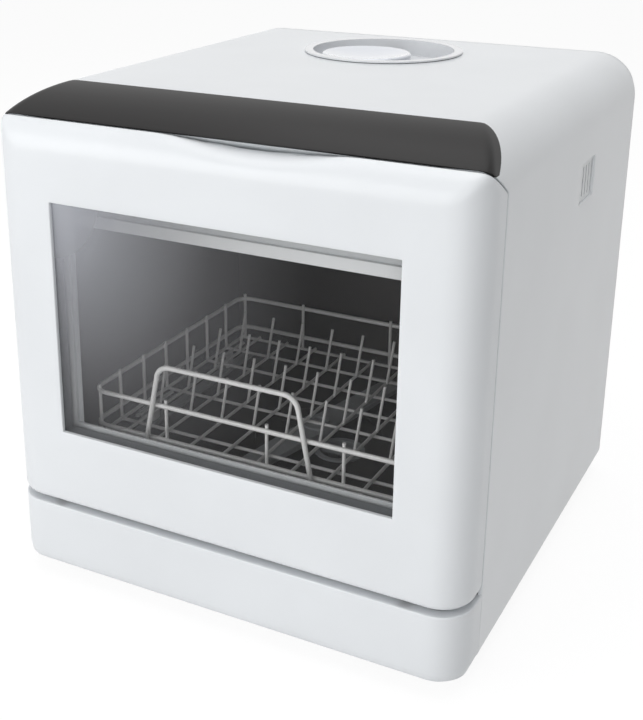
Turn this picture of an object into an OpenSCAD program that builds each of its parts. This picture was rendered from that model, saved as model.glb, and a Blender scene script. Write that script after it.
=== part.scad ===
// Tank-fed countertop dishwasher with a drop-down glazed door and a pull-out wire rack.
// X runs to the machine's right as seen from the front, Y runs back and Z runs up.
// Depths named *_d are measured back from the front face; in_place() centres them on the origin.

/* [Body] */
// Width over the side panels
body_w = 420; // [400:1:500]
// Depth from the front face to the rear cover
body_d = 435; // [425:1:520]
// Height of the flat top above the table
body_h = 435; // [425:1:520]
// Thickness of the outer casing
wall = 3; // [2.6:0.1:3.4]
// Radius where the top rolls into the side panels
shoulder_r = 40; // [20:1:48]
// Radius of the two upright front corners
corner_r = 29; // [16:1:32]
// Radius of the two upright rear corners
rear_r = 10; // [7:0.5:14]
// Radius of the long lower edges of the side panels
base_r = 12; // [8:0.5:16]
// Height of the rubber feet
foot_h = 12; // [8:0.5:20]
// Radius of the rubber feet
foot_r = 14; // [10:0.5:18]

/* [Front] */
// Height of the apron below the door
apron_h = 62; // [58:1:70]
// Gap between the apron and the lower edge of the door
door_gap = 3; // [2:0.5:4]
// Depth of the door where it meets the side panels
door_t = 42.5; // [41:0.5:46]
// Open seam between the door and the casing
seam = 2; // [1.6:0.1:2.6]
// Radius of the rolled upper edge of the door
nose_r = 28; // [22:1:34]
// How far the rolled edge turns before the brow takes over, in degrees
nose_turn = 62; // [56:1:66]
// Depth at which the brow becomes the flat top
brow_d = 95; // [85:1:110]
// Thickness of the dark control strip
strip_t = 1.5; // [1.2:0.1:1.8]
// Depth of the upper edge of the control strip
strip_back_d = 77; // [60:1:80]
// Depth of the lower outer corners of the control strip
strip_tip_d = 26; // [22:1:30]
// Height of those lower corners under the flat top
strip_tip_drop = 26.4; // [24:0.5:29]
// Width of the finger scoop in the upper edge of the door
scoop_w = 200; // [120:5:240]
// How far the finger scoop dips under the strip
scoop_dip = 12; // [6:0.5:14]
// Sideways offset of the finger scoop from the middle
scoop_x = 28; // [-60:1:60]

/* [Window] */
// Width of the window opening
window_w = 304; // [240:1:310]
// Height of the window opening
window_h = 204; // [150:1:208]
// Height of the lower edge of the window above the table
window_z = 147; // [140:1:152]
// Thickness of each glass pane
glass_t = 3; // [2.5:0.25:4]
// How far a pane runs behind its frame
glass_lap = 7; // [5:0.5:9]

/* [Door] */
// Thickness of the outer door skin
skin = 3; // [2.5:0.1:3.2]
// Distance of the hinge line from the front face and from the lower edge
hinge_in = 9; // [8.5:0.25:10]
// Distance of each hinge from the middle
hinge_x = 162; // [158:0.5:164]
// Radius of the hinge pins
pin_r = 3; // [2.5:0.1:3.4]
// Running clearance around pins and axles
run_gap = 0.05; // [0.02:0.01:0.09]
// Depth of the front of the inner liner
liner_d = 20; // [19:0.5:21]
// Thickness of the inner liner
liner_t = 2; // [1.6:0.1:2.2]
// Depth of the rear face of the liner's rim
rim_d = 38; // [36:0.5:38]
// Half width of the recessed pan in the liner
pan_x = 172; // [170:0.5:174]

/* [Tub] */
// Inner width of the wash tub
tub_w = 332; // [330:1:336]
// Depth of the front of the tub
tub_front_d = 47; // [47:0.5:50]
// Inner length of the tub from front to back
tub_len = 282; // [276:1:290]
// Height of the tub floor above the table
tub_floor = 97; // [97:0.5:98]
// Inner height of the tub
tub_h = 223; // [215:1:240]
// Thickness of the tub sheet
tub_t = 1.5; // [1:0.1:1.8]
// Radius of the sump below the floor
sump_r = 60; // [56:1:62]
// Depth of the sump below the floor
sump_h = 50; // [46:1:52]

/* [Rack] */
// Width over the long sides of the rack
rack_w = 316; // [312:1:320]
// Depth of the front of the rack
rack_front_d = 51; // [51:0.5:54]
// Length of the rack from front to back
rack_len = 266; // [262:1:268]
// Radius of the heavy rack wires
rail_r = 2.1; // [1.8:0.1:2.3]
// Radius of the thin rack wires
wire_r = 1.5; // [1.2:0.1:1.6]
// Height of the upper rack rail above the tub floor
rail_hi = 69; // [60:1:74]
// Height of the lower rack rail above the tub floor
rail_lo = 37; // [34:1:42]
// Height of the bottom grid above the tub floor
grid_h = 25; // [24:0.25:26]
// Height of the rack handle above the tub floor
handle_h = 108; // [96:1:116]
// Width of the rack handle at its feet
handle_w = 160; // [120:2:180]
// Sideways offset of the rack handle from the middle
handle_x = -18; // [-30:1:30]
// Radius of the rack wheels
wheel_r = 9; // [8.5:0.1:9]
// Width of the rack wheels
wheel_w = 7; // [5:0.5:8]
// Radius of the wheel axles
axle_r = 2.5; // [2:0.1:3]

/* [Spray arm and filter] */
// Length of each wing of the spray arm from its hub
arm_r = 126; // [100:1:128]
// Thickness of the spray arm
arm_t = 6; // [5:0.5:6.5]
// Radius of the pin the spray arm turns on
arm_pin_r = 4; // [3:0.1:5]
// Radius of the removable filter cup
cup_r = 20; // [16:0.5:21]

/* [Top filling dish] */
// Outer radius of the dish rim
dish_r = 75; // [66:1:80]
// Sideways place of the middle of the dish
dish_x = -10; // [-30:1:30]
// Depth of the middle of the dish from the front face
dish_d = 338; // [325:1:342]
// Height of the dish rim above the top panel
dish_rim_h = 2; // [1.6:0.1:3]
// Depth of the dish floor below the top panel
dish_deep = 13; // [11:0.5:14]
// Radius of the lift-off fill cap
cap_r = 42; // [36:0.5:43]

/* [Rear] */
// Depth of the pocket that holds the rear ports
pocket_deep = 22; // [20:0.5:24]
// Outer radius of the drain spigot
spigot_r = 8; // [7:0.25:9]
// Outer radius of the threaded water inlet
inlet_r = 13.2; // [13.2:0.1:13.3]
// Length of both rear ports
port_len = 18; // [16:0.5:19]

/* [Hidden] */
$fn = 96;
tiny = 0.01;
big = 900;
// A bend is this much fatter than its straight runs, which reach this far into it
bend_fat = 0.15;
bend_in = 1;

white = "#eceef0";
grey = "#c9ccd0";
dark = "#3a3a3c";
steel = "#b9bdc2";

half_w = body_w / 2;
base_z = foot_h;
apron_z = foot_h + apron_h;
door_z = apron_z + door_gap;
hinge_z = door_z + hinge_in;
frame_d = door_t + seam;
rear_t = 3;
rear_in = body_d - rear_t;

// The brow is an arc that is tangent to the rolled door edge and to the flat top
brow_r = (brow_d - nose_r * (1 - cos(nose_turn))) / cos(nose_turn);
nose_z = body_h - brow_r + (brow_r - nose_r) * sin(nose_turn);
joint_d = nose_r * (1 - cos(nose_turn));
joint_z = nose_z + nose_r * sin(nose_turn);

// The seam over the door falls towards the back
seam_slope = 0.7;
seam_end_z = joint_z - seam_slope * (frame_d - joint_d);
lip_z = seam_end_z - 4.5;
strip_slope = (strip_tip_drop - brow_drop(strip_back_d)) / (strip_back_d - strip_tip_d);

tub_x = tub_w / 2;
tub_back_d = tub_front_d + tub_len;
tub_mid_d = tub_front_d + tub_len / 2;
tub_top = tub_floor + tub_h;
arm_z = tub_floor + 6.5;
pan_top = tub_top + 46;
seal_w = 11;
seal_z = pan_top + 3;
slack = 0.3;

rack_x = rack_w / 2;
rack_back_d = rack_front_d + rack_len;
grid_z = tub_floor + grid_h;
rail_hi_z = tub_floor + rail_hi;
rail_lo_z = tub_floor + rail_lo;
wheel_x = 147.5;
wheel_z = tub_floor + 4 + wheel_r;
wheel_front_d = rack_front_d + 79;
wheel_rear_d = rack_front_d + 219;
ledge_z = tub_floor + 4 - slack;

dish_floor = body_h - dish_deep;
dish_wall = 2;
gasket_t = 0.6;
cap_dx = -9;
cap_dd = -20;
cap_d = dish_d + cap_dd;
cap_x = dish_x + cap_dx;
mouth_r = 26;
air_x = dish_x - 11;
air_d = dish_d + 48;
air_r = 14;
air_len = 12;

tank_front_d = tub_back_d + 11;
tank_back_d = rear_in - 10;
tank_x = 150;
tank_low = 106;
tank_high = 372;
tank_t = 2;
neck_d = tank_front_d + 30;

port_z = 60;
groove_w = 1.5;
drain_x = -120;
inlet_x = -60;
gland_x = 120;
port_face_d = body_d - pocket_deep;

function brow_drop(d) = brow_r - sqrt(brow_r * brow_r - (brow_d - d) * (brow_d - d));

// Basic solids in the front-face frame

module in_place() {
    translate([0, -body_d / 2, 0]) children();
}

module slab(x, d, z) {
    translate([x[0], d[0], z[0]]) cube([x[1] - x[0], d[1] - d[0], z[1] - z[0]]);
}

module rod(a, b, r) {
    v = b - a;
    len = norm(v);
    translate(a) rotate([0, acos(v[2] / len), atan2(v[1], v[0])]) cylinder(h = len, r = r);
}

function unit(v) = v / norm(v);
function turn_at(a, p, b) = 180 - acos(unit(a - p) * unit(b - p));
function reach_at(a, p, b, turn_r) = turn_r * tan(turn_at(a, p, b) / 2);

// One bend of a hose about point p, between the runs to a and to b
module hose_bend(a, p, b, r, turn_r) {
    turn = turn_at(a, p, b);
    reach = reach_at(a, p, b, turn_r);
    mid = p + unit(unit(a - p) + unit(b - p)) * turn_r / cos(turn / 2);
    u = unit(p + unit(a - p) * reach - mid);
    w = unit(cross(u, unit(p + unit(b - p) * reach - mid)));
    v = cross(w, u);
    multmatrix([
        [u[0], v[0], w[0], mid[0]], [u[1], v[1], w[1], mid[1]], [u[2], v[2], w[2], mid[2]]
    ]) rotate_extrude(angle = turn) translate([turn_r, 0]) circle(r = r + bend_fat);
}

module hose(points, r, turn_r) {
    last = len(points) - 1;
    for (i = [0 : last - 1]) {
        run = unit(points[i + 1] - points[i]);
        from = i == 0 ? 0
            : reach_at(points[i - 1], points[i], points[i + 1], turn_r) - bend_in;
        to = i == last - 1 ? 0
            : reach_at(points[i], points[i + 1], points[i + 2], turn_r) - bend_in;
        rod(points[i] + run * from, points[i + 1] - run * to, r);
    }
    for (i = [1 : 1 : last - 1]) hose_bend(points[i - 1], points[i], points[i + 1], r, turn_r);
}

module along_x(x) {
    translate([x[0], 0, 0]) rotate([90, 0, 90]) linear_extrude(height = x[1] - x[0]) children();
}

module along_y(d) {
    translate([0, d[1], 0]) rotate([90, 0, 0]) linear_extrude(height = d[1] - d[0]) children();
}

module bar_x(x, d, z, r) {
    translate([x[0], d, z]) rotate([0, 90, 0]) cylinder(h = x[1] - x[0], r = r);
}

module bar_y(d, x, z, r) {
    translate([x, d[0], z]) rotate([-90, 0, 0]) cylinder(h = d[1] - d[0], r = r);
}

module post(x, d, z, r) {
    translate([x, d, z[0]]) cylinder(h = z[1] - z[0], r = r);
}

module corner_waste(x, y, r, sx, sy) {
    translate([x, y]) scale([sx, sy]) difference() {
        translate([-1, -1]) square(r + 1);
        translate([r, r]) circle(r = r);
    }
}

module round_box(x, y, r_low, r_high) {
    difference() {
        translate([x[0], y[0]]) square([x[1] - x[0], y[1] - y[0]]);
        corner_waste(x[0], y[0], r_low, 1, 1);
        corner_waste(x[1], y[0], r_low, -1, 1);
        corner_waste(x[0], y[1], r_high, 1, -1);
        corner_waste(x[1], y[1], r_high, -1, -1);
    }
}

module tube(x, d, z, r_out, r_in) {
    translate([x, d, z[0]]) difference() {
        cylinder(h = z[1] - z[0], r = r_out);
        translate([0, 0, -1]) cylinder(h = z[1] - z[0] + 2, r = r_in);
    }
}

// Outer form of the machine: three outlines that cut one another, each drawn in by inset

module front_outline(inset, low = 0) {
    round_box([-half_w + inset, half_w - inset], [base_z + inset - low, body_h - inset],
        base_r, shoulder_r - inset);
}

module side_outline(inset, back = 0) {
    z0 = base_z - big * 0.01;
    translate([inset, z0]) square([body_d - 2 * inset + back, nose_z - z0]);
    translate([brow_d, z0]) square([body_d - brow_d - inset + back, body_h - inset - z0]);
    intersection() {
        translate([nose_r, nose_z]) circle(r = nose_r - inset);
        translate([0, nose_z]) square([joint_d, body_h]);
    }
    intersection() {
        translate([brow_d, body_h - brow_r]) circle(r = brow_r - inset, $fn = 360);
        translate([joint_d, nose_z]) square([brow_d - joint_d, body_h]);
    }
}

module plan_outline(inset, back = 0) {
    round_box([-half_w + inset, half_w - inset], [inset, body_d - inset + back],
        corner_r - inset, max(rear_r - inset, 1));
}

module form(inset, low = 0, back = 0) {
    intersection() {
        along_y([-1, body_d + back + 1]) front_outline(inset, low);
        along_x([-half_w - 1, half_w + 1]) side_outline(inset, back);
        translate([0, 0, -big / 10]) linear_extrude(height = big) plan_outline(inset, back);
    }
}

function seam_at(d) = joint_z - seam_slope * (d - joint_d);

module under_seam(drop) {
    polygon([
        [-10, seam_at(-10) - drop], [80, seam_at(80) - drop], [80, -20], [-10, -20]
    ]);
}

module over_seam(lift, d_end) {
    polygon([
        [-10, seam_at(-10) + lift], [d_end, seam_at(d_end) + lift],
        [d_end, body_h + 20], [-10, body_h + 20]
    ]);
}

module strip_side() {
    tip_z = body_h - strip_tip_drop;
    polygon([
        [-10, tip_z - strip_slope * (strip_tip_d + 10)],
        [strip_back_d + 20, tip_z + strip_slope * (strip_back_d + 20 - strip_tip_d)],
        [strip_back_d + 20, body_h + 20], [-10, body_h + 20]
    ]);
}

module strip_side_cut(lift) {
    along_x([-half_w - 1, half_w + 1]) intersection() {
        strip_side();
        over_seam(lift, 120);
    }
}

module strip_pocket() {
    difference() {
        strip_side_cut(0);
        form(strip_t);
    }
}

// Casing and covers

module casing_zone() {
    translate([frame_d, 0]) square([rear_in - frame_d, body_h + 10]);
    intersection() {
        over_seam(seam / 2, frame_d + 1);
        translate([0, lip_z]) square([frame_d + 1, body_h]);
    }
}

module casing() {
    color(white) in_place() difference() {
        union() {
            intersection() {
                difference() {
                    form(0);
                    form(wall, 40, 40);
                }
                along_x([-half_w, half_w]) casing_zone();
            }
            intersection() {
                form(wall / 2);
                for (x = board_post_x, d = board_post_d)
                    post(x, d, [board_z + board_t, body_h], 4);
            }
        }
        strip_pocket();
        post(dish_x, dish_d, [body_h - 10, body_h + 10], dish_r - 5);
        slab([half_w - 10, half_w + 1], vent_d, vent_z);
    }
}

module control_strip() {
    color(dark) in_place() intersection() {
        difference() {
            form(0);
            form(strip_t);
        }
        strip_side_cut(seam / 2);
    }
}

module front_apron() {
    color(white) in_place() difference() {
        intersection() {
            form(0);
            slab([-half_w, half_w], [0, frame_d], [0, apron_z]);
        }
        intersection() {
            form(wall, 40, 0);
            slab([-half_w, half_w], [0, frame_d + 1], [0, apron_z - wall]);
        }
    }
}

tray_in = wall + 0.4;
tray_t = 2.5;
tray_top = 68;

module base_tray() {
    color(grey) in_place() difference() {
        union() {
            intersection() {
                difference() {
                    form(tray_in);
                    form(tray_in + tray_t);
                }
                slab([-half_w, half_w], [0, body_d], [0, tray_top]);
            }
            for (s = [-1, 1]) {
                slab([s * 140 - 2, s * 140 + 2], [tank_front_d, port_face_d - 8],
                    [base_z + tray_in + 1, tank_low]);
            }
            for (x = [pump_x1 + 6, motor_x1 - 14])
                slab([x, x + 5], [tub_mid_d - 22, tub_mid_d + 22],
                    [base_z + tray_in + 1, pump_z - motor_r + 6]);
            slab([drain_pump_x1 + 14, drain_pump_x1 + 20], [tub_mid_d - 18, tub_mid_d + 18],
                [base_z + tray_in + 1, pump_z - drain_pump_r + 6]);
        }
        bar_x([pump_x1, motor_x1 + 1], tub_mid_d, pump_z, motor_r + run_gap);
        bar_x([drain_pump_x1 - 1, drain_pump_x0], tub_mid_d, pump_z, drain_pump_r - 2 + run_gap);
        slab([-half_w, half_w], [body_d - pocket_deep - 4, body_d], [port_z - 26.8, tray_top + 1]);
        for (x = foot_x, d = foot_d) post(x, d, [base_z, base_z + 10], 2.2);
    }
}

foot_x = [-165, 165];
foot_d = [46, body_d - 45];

module feet() {
    color(dark) in_place() for (x = foot_x, d = foot_d) difference() {
        union() {
            post(x, d, [0.8, base_z + tray_in], foot_r);
            post(x, d, [0, 1], foot_r - 1);
            post(x, d, [base_z + tray_in - tiny, base_z + tray_in + tray_t + 2], 2);
        }
        post(x, d, [-1, 4], 5);
    }
}

screw_head_t = 1.6;
cover_screws = [[-185, 40], [185, 40], [-185, 380], [185, 380], [0, 412]];
vent_slots = 9;

module rear_cover() {
    pocket_x = 160;
    pocket_lo = port_z - 24;
    pocket_hi = port_z + 24;
    color(white) in_place() difference() {
        union() {
            intersection() {
                form(0);
                slab([-half_w, half_w], [rear_in, body_d + 1], [base_z + 2, body_h + 1]);
            }
            intersection() {
                difference() {
                    form(wall + 0.4, 0, 40);
                    form(wall + 2.8, 0, 40);
                }
                slab([-half_w, half_w], [rear_in - 8, rear_in], [tray_top + 3, body_h]);
            }
            slab([-pocket_x - 2.5, pocket_x + 2.5], [port_face_d - 2.5, body_d - 1],
                [pocket_lo - 2.5, pocket_hi + 2.5]);
        }
        slab([-pocket_x, pocket_x], [port_face_d, body_d + 1], [pocket_lo, pocket_hi]);
        for (i = [0 : vent_slots - 1])
            slab([-70, 70], [rear_in - 1, body_d + 1], [250 + i * 11, 254 + i * 11]);
        for (p = cover_screws) {
            bar_y([rear_in - 9, body_d + 1], p[0], p[1], 2);
            bar_y([body_d - screw_head_t, body_d + 1], p[0], p[1], 4);
        }
        bar_y([port_face_d - 3, body_d], drain_x, port_z, spigot_r + slack);
        bar_y([port_face_d - 3, body_d], inlet_x, port_z, inlet_r + slack);
        bar_y([port_face_d - 3, body_d], gland_x, port_z, gland_r + slack);
    }
}

module rear_screws() {
    color(steel) in_place() for (p = cover_screws) {
        bar_y([rear_in - 8, body_d - screw_head_t + tiny], p[0], p[1], 1.9);
        difference() {
            bar_y([body_d - screw_head_t, body_d], p[0], p[1], 3.6);
            for (a = [0, 90]) translate([p[0], body_d, p[1]]) rotate([0, a, 0])
                cube([4.4, 1.6, 0.9], center = true);
        }
    }
}

// Front frame, hinges and latch

mouth_low = tub_floor - 3.5;
trim_h = 10;
frame_t = tub_front_d - frame_d;
frame_in = wall + 0.4;

module front_frame() {
    color(white) in_place() difference() {
        union() {
            intersection() {
                form(frame_in);
                along_x([-half_w, half_w]) {
                    translate([frame_d, apron_z + 4]) square([frame_t, lip_z + 2 - apron_z]);
                    intersection() {
                        over_seam(seam / 2, frame_d + frame_t);
                        under_seam(-seam / 2 - 2.5);
                        translate([0, lip_z - 20]) square([frame_d + frame_t, 100]);
                    }
                }
            }
            slab([-tub_x, tub_x], [tongue_d, frame_d + 1], [mouth_low, tub_floor - 0.5]);
        }
        slab([-tub_x, tub_x], [frame_d - tiny, frame_d + frame_t + 1],
            [tub_floor - 0.5, tub_top + trim_h]);
        for (s = [-1, 1]) slab([s * hinge_x - 5, s * hinge_x + 5], [frame_d - 1, frame_d + frame_t + 1],
            [apron_z, hinge_z + 7]);
        slab([-tongue_x - 3, tongue_x + 3], [frame_d - 1, frame_d + frame_t + 1],
            [tongue_z - 2.5, tongue_z + tongue_t + 3]);
    }
}

tongue_d = hinge_in + 17.6;
lug_h = 5.4;
lug_t = 6;

module hinge_bracket(side) {
    x = side * hinge_x;
    color(steel) in_place() difference() {
        union() {
            bar_x([x - lug_t / 2, x + lug_t / 2], hinge_in, hinge_z, lug_h);
            slab([x - lug_t / 2, x + lug_t / 2], [hinge_in, tub_front_d + 14],
                [hinge_z - lug_h, hinge_z + lug_h]);
            slab([x - lug_t / 2, x + lug_t / 2], [tub_front_d + 3, tub_front_d + 14],
                [base_z + tray_in + tray_t, hinge_z]);
            slab([x - 12, x + 12], [tub_front_d + 3, tub_front_d + 26],
                [base_z + tray_in + tray_t, base_z + tray_in + tray_t + 3]);
        }
        bar_x([x - 10, x + 10], hinge_in, hinge_z, pin_r + run_gap);
    }
}

module hinge_brackets() {
    for (side = [-1, 1]) hinge_bracket(side);
}

latch_d0 = tub_front_d;
latch_len = 24;
tongue_x = 9;
tongue_t = 4;
tongue_z = pan_top + 19;
jaw_lift = 2.2;
jaw_d = latch_d0 + 18;
jaw_z = tongue_z + tongue_t + 6;

module latch_housing() {
    color(grey) in_place() difference() {
        slab([-tongue_x - 8, tongue_x + 8], [latch_d0, latch_d0 + latch_len],
            [tongue_z - 6, jaw_z + 5]);
        slab([-tongue_x - 3, tongue_x + 3], [latch_d0 - 1, latch_d0 + latch_len - 3],
            [tongue_z - 2.5, jaw_z + 6]);
        bar_x([-tongue_x - 9, tongue_x + 9], jaw_d, jaw_z, 1.5);
    }
}

module latch_jaw() {
    color(dark) in_place() {
        bar_x([-tongue_x - 7, tongue_x + 7], jaw_d, jaw_z, 1.5 - run_gap);
        bar_x([-6, 6], jaw_d, jaw_z, 3);
        slab([-6, 6], [latch_d0 + 3, jaw_d], [jaw_z - 1.5, jaw_z + 2]);
        slab([-6, 6], [latch_d0 + 3, latch_d0 + 6], [tongue_z + tongue_t + jaw_lift, jaw_z]);
    }
}

module door_switch() {
    color(dark) in_place() {
        slab([-8, 8], [latch_d0 + latch_len, latch_d0 + latch_len + 14],
            [tongue_z - 5, tongue_z + 7]);
        slab([-2, 2], [latch_d0 + latch_len + 4, latch_d0 + latch_len + 10],
            [tongue_z + 7, tongue_z + 9]);
    }
}

module latch_tongue() {
    color(steel) in_place() difference() {
        union() {
            slab([-tongue_x, tongue_x], [rim_d, latch_d0 + 12], [tongue_z, tongue_z + tongue_t]);
            slab([-tongue_x - 5, tongue_x + 5], [rim_d, rim_d + 1.5], [tongue_z - 5, tongue_z + 7]);
        }
        slab([-4, 4], [latch_d0 + 6.5, latch_d0 + 9.5], [tongue_z - 1, tongue_z + tongue_t + 1]);
    }
}

// Door

module door_side(inset) {
    intersection() {
        union() {
            translate([hinge_in, hinge_z]) circle(r = hinge_in - inset);
            translate([hinge_in, door_z + inset]) square([door_t, body_h]);
            translate([inset, hinge_z]) square([door_t, body_h]);
        }
        under_seam(seam / 2 + inset * 1.22);
    }
}

module door_solid(inset) {
    intersection() {
        form(inset);
        along_x([-half_w, half_w]) door_side(inset);
    }
}

// The finger scoop is a wide shallow arc, swept back and a little upwards
scoop_r = (scoop_w * scoop_w / 4 + scoop_dip * scoop_dip) / (2 * scoop_dip);
scoop_rise = 21;

module scoop(grow) {
    translate([scoop_x, 2, joint_z - scoop_dip]) rotate([scoop_rise, 0, 0])
        translate([0, -20, scoop_r]) rotate([-90, 0, 0]) cylinder(h = 80, r = scoop_r + grow, $fn = 360);
}

module window_hole(grow, d) {
    slab([-window_w / 2 - grow, window_w / 2 + grow], d,
        [window_z - grow, window_z + window_h + grow]);
}

module hinge_slots(d_end) {
    for (s = [-1, 1])
        slab([s * hinge_x - 4.5, s * hinge_x + 4.5], [skin, d_end], [door_z - 1, hinge_z + 7]);
}

module door_panel() {
    color(white) in_place() difference() {
        intersection() {
            door_solid(0);
            slab([-half_w, half_w], [0, door_t], [0, body_h]);
        }
        difference() {
            door_solid(skin);
            intersection() {
                scoop(skin);
                slab([-half_w, half_w], [0, door_t], [joint_z - 30, body_h]);
            }
        }
        scoop(0);
        slab([-pan_x, pan_x], [liner_d + liner_t + slack, door_t + 1], [door_z - 1, hinge_z + 20]);
        window_hole(0, [-1, skin + 1]);
        hinge_slots(door_t + 1);
    }
}

liner_gap = 0.3;
liner_low = door_z + skin + 0.2;
liner_top = lip_z - 3.5;
liner_x = half_w - skin - liner_gap;

module door_liner() {
    color("#d9dcdf") in_place() difference() {
        union() {
            slab([-liner_x, liner_x], [rim_d - liner_t, rim_d], [liner_low, liner_top]);
            slab([-pan_x - liner_t, pan_x + liner_t], [liner_d, rim_d], [liner_low, pan_top + liner_t]);
            for (s = [-1, 1]) slab([s * (wheel_x + 3.5) - 5, s * (wheel_x + 3.5) + 5],
                [liner_d, liner_rib_d], [hinge_z + 14, pan_top - 10]);
        }
        difference() {
            slab([-pan_x, pan_x], [liner_d + liner_t, rim_d + 1], [0, pan_top]);
            for (s = [-1, 1]) slab([s * (wheel_x + 3.5) - 5, s * (wheel_x + 3.5) + 5],
                [liner_d, liner_rib_d], [hinge_z + 14, pan_top - 10]);
        }
        window_hole(-2, [liner_d - 1, liner_d + liner_t + 1]);
        hinge_slots(rim_d + 1);
    }
}

// With the door down, the liner's ribs carry the rack wheels on from the tub's ledges
liner_rib_d = hinge_in + ledge_z - hinge_z;

module door_glass() {
    color([0.35, 0.37, 0.4, 0.4]) in_place() window_hole(glass_lap, [skin, skin + glass_t]);
}

module inner_glass() {
    color([0.5, 0.52, 0.55, 0.35]) in_place()
        window_hole(glass_lap - 2, [liner_d - glass_t, liner_d]);
}

module window_seal() {
    color(dark) in_place() difference() {
        window_hole(glass_lap, [skin + glass_t, liner_d - glass_t]);
        window_hole(1, [skin, liner_d]);
    }
}

module hinge_shoes() {
    color(grey) in_place() difference() {
        for (s = [-1, 1], t = [-1, 1]) {
            x = s * hinge_x + t * 6.2;
            slab([x - 3, x + 3], [hinge_in - 4.5, liner_d], [hinge_z - 3.5, hinge_z + 12]);
            slab([x - 3, x + 3], [hinge_in, liner_d], [door_z + skin, hinge_z]);
        }
        bar_x([-half_w, half_w], hinge_in, hinge_z, pin_r);
    }
}

module hinge_pins() {
    color(steel) in_place() for (s = [-1, 1])
        bar_x([s * hinge_x - 9.6, s * hinge_x + 9.6], hinge_in, hinge_z, pin_r);
}

module door_lip_seal() {
    color(dark) in_place()
        slab([-hinge_x + 24, hinge_x - 24], [liner_d + liner_t, liner_d + liner_t + 3.5],
            [tub_floor + 0.8, tub_floor + 3.8]);
}

// Tub and what is in it

module tub() {
    color(steel) in_place() difference() {
        union() {
            slab([-tub_x - tub_t, tub_x + tub_t], [tub_front_d, tub_back_d + tub_t],
                [tub_floor - tub_t, tub_top + tub_t]);
            slab([-tub_x - 14, tub_x + 14], [tub_front_d, tub_front_d + tub_t],
                [tub_floor - tub_t - 1, tub_top + 16]);
        }
        slab([-tub_x, tub_x], [tub_front_d - 1, tub_back_d], [tub_floor, tub_top]);
        post(0, tub_mid_d, [0, tub_floor + 1], sump_r);
        bar_x([tub_x - 1, tub_x + tub_t + 1], vent_mid_d, duct_z, duct_r);
    }
}

module rack_rails() {
    color(grey) in_place() for (s = [-1, 1])
        slab([s * (wheel_x + 3.5) - 5, s * (wheel_x + 3.5) + 5], [tongue_d + 0.6, tub_back_d - 2],
            [tub_floor, ledge_z]);
}

module door_seal() {
    color("#8f9396") in_place() difference() {
        slab([-pan_x - 3 - seal_w, pan_x + 3 + seal_w], [rim_d + slack, frame_d],
            [hinge_z + 21, seal_z + seal_w]);
        slab([-pan_x - 3, pan_x + 3], [rim_d - 1, frame_d + 1], [hinge_z, seal_z]);
    }
}

module mouth_trim() {
    color("#f2f4f5") in_place()
        slab([-tub_x, tub_x], [frame_d - 3.5, frame_d + frame_t], [tub_top, tub_top + trim_h]);
}

module sump() {
    color(grey) in_place() difference() {
        union() {
            post(0, tub_mid_d, [tub_floor - sump_h, tub_floor - tub_t], sump_r + 2.5);
            post(0, tub_mid_d, [tub_floor - tub_t - 3, tub_floor - tub_t], sump_r + 9);
            bar_x([sump_r, pump_x0], tub_mid_d, pump_z, 12);
            bar_x([drain_pump_x0, -sump_r], tub_mid_d, pump_z, 9);
            bar_y([tub_mid_d + sump_r - 20, tub_mid_d + sump_r + 10], 30, feed_z, 7.5);
        }
        post(0, tub_mid_d, [tub_floor - sump_h + 2.5, tub_floor + 1], sump_r);
        bar_x([sump_r - 5, pump_x0 + 1], tub_mid_d, pump_z, 10);
        bar_x([drain_pump_x0 - 1, -sump_r + 5], tub_mid_d, pump_z, 7);
        bar_y([tub_mid_d + sump_r - 20, tub_mid_d + sump_r + 11], 30, feed_z, 5);
        post(0, tub_mid_d, [tub_floor - sump_h - 1, tub_floor], hub_r + run_gap);
        for (s = [-1, 1]) post(s * 9, tub_mid_d - heater_ring, [tub_floor - sump_h - 1, tub_floor - 20],
            heater_r + run_gap);
    }
    color(grey) in_place()
        tube(0, tub_mid_d, [tub_floor - 6, tub_floor - 3.1], sump_r + 1, sump_r - 3);
}

hub_r = 9;
cup_dx = 30;
cup_dd = -18;

module filter_plate() {
    holes = 6;
    color(steel) in_place() difference() {
        post(0, tub_mid_d, [tub_floor - 3, tub_floor - 1], sump_r - slack);
        post(0, tub_mid_d, [0, tub_floor], hub_r + slack);
        post(cup_dx, tub_mid_d + cup_dd, [0, tub_floor], cup_r + slack);
        for (i = [0 : holes - 1], j = [0 : 1]) {
            a = 60 + i * 34;
            rr = 30 + j * 16;
            post(rr * cos(a), tub_mid_d + rr * sin(a), [0, tub_floor], 2.5);
        }
    }
}

module filter_cup() {
    z0 = tub_floor - 34;
    color(grey) in_place() translate([cup_dx, tub_mid_d + cup_dd, 0]) difference() {
        union() {
            post(0, 0, [z0, tub_floor - 0.7], cup_r);
            post(0, 0, [tub_floor - 0.7, tub_floor + 1], cup_r + 3);
            slab([-cup_r + 2, cup_r - 2], [-2, 2], [tub_floor - 4, tub_floor + 4]);
        }
        difference() {
            post(0, 0, [z0 + 2, tub_floor + 2], cup_r - 2);
            slab([-cup_r, cup_r], [-2, 2], [tub_floor - 4, tub_floor + 5]);
        }
        for (i = [0 : 7]) rotate([0, 0, i * 45 + 22.5])
            slab([cup_r - 5, cup_r + 5], [-2, 2], [z0 + 6, tub_floor - 6]);
    }
}

module spray_hub() {
    color(grey) in_place() difference() {
        union() {
            post(0, tub_mid_d, [tub_floor - sump_h - 10, arm_z - 1], hub_r);
            post(0, tub_mid_d, [arm_z - 1.5, arm_z + arm_t + 3], arm_pin_r);
            post(0, tub_mid_d, [tub_floor - sump_h - 4, tub_floor - sump_h], hub_r + 6);
        }
        post(0, tub_mid_d, [0, arm_z - 4], hub_r - 2.5);
    }
}

arm_turn = 78;

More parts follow.
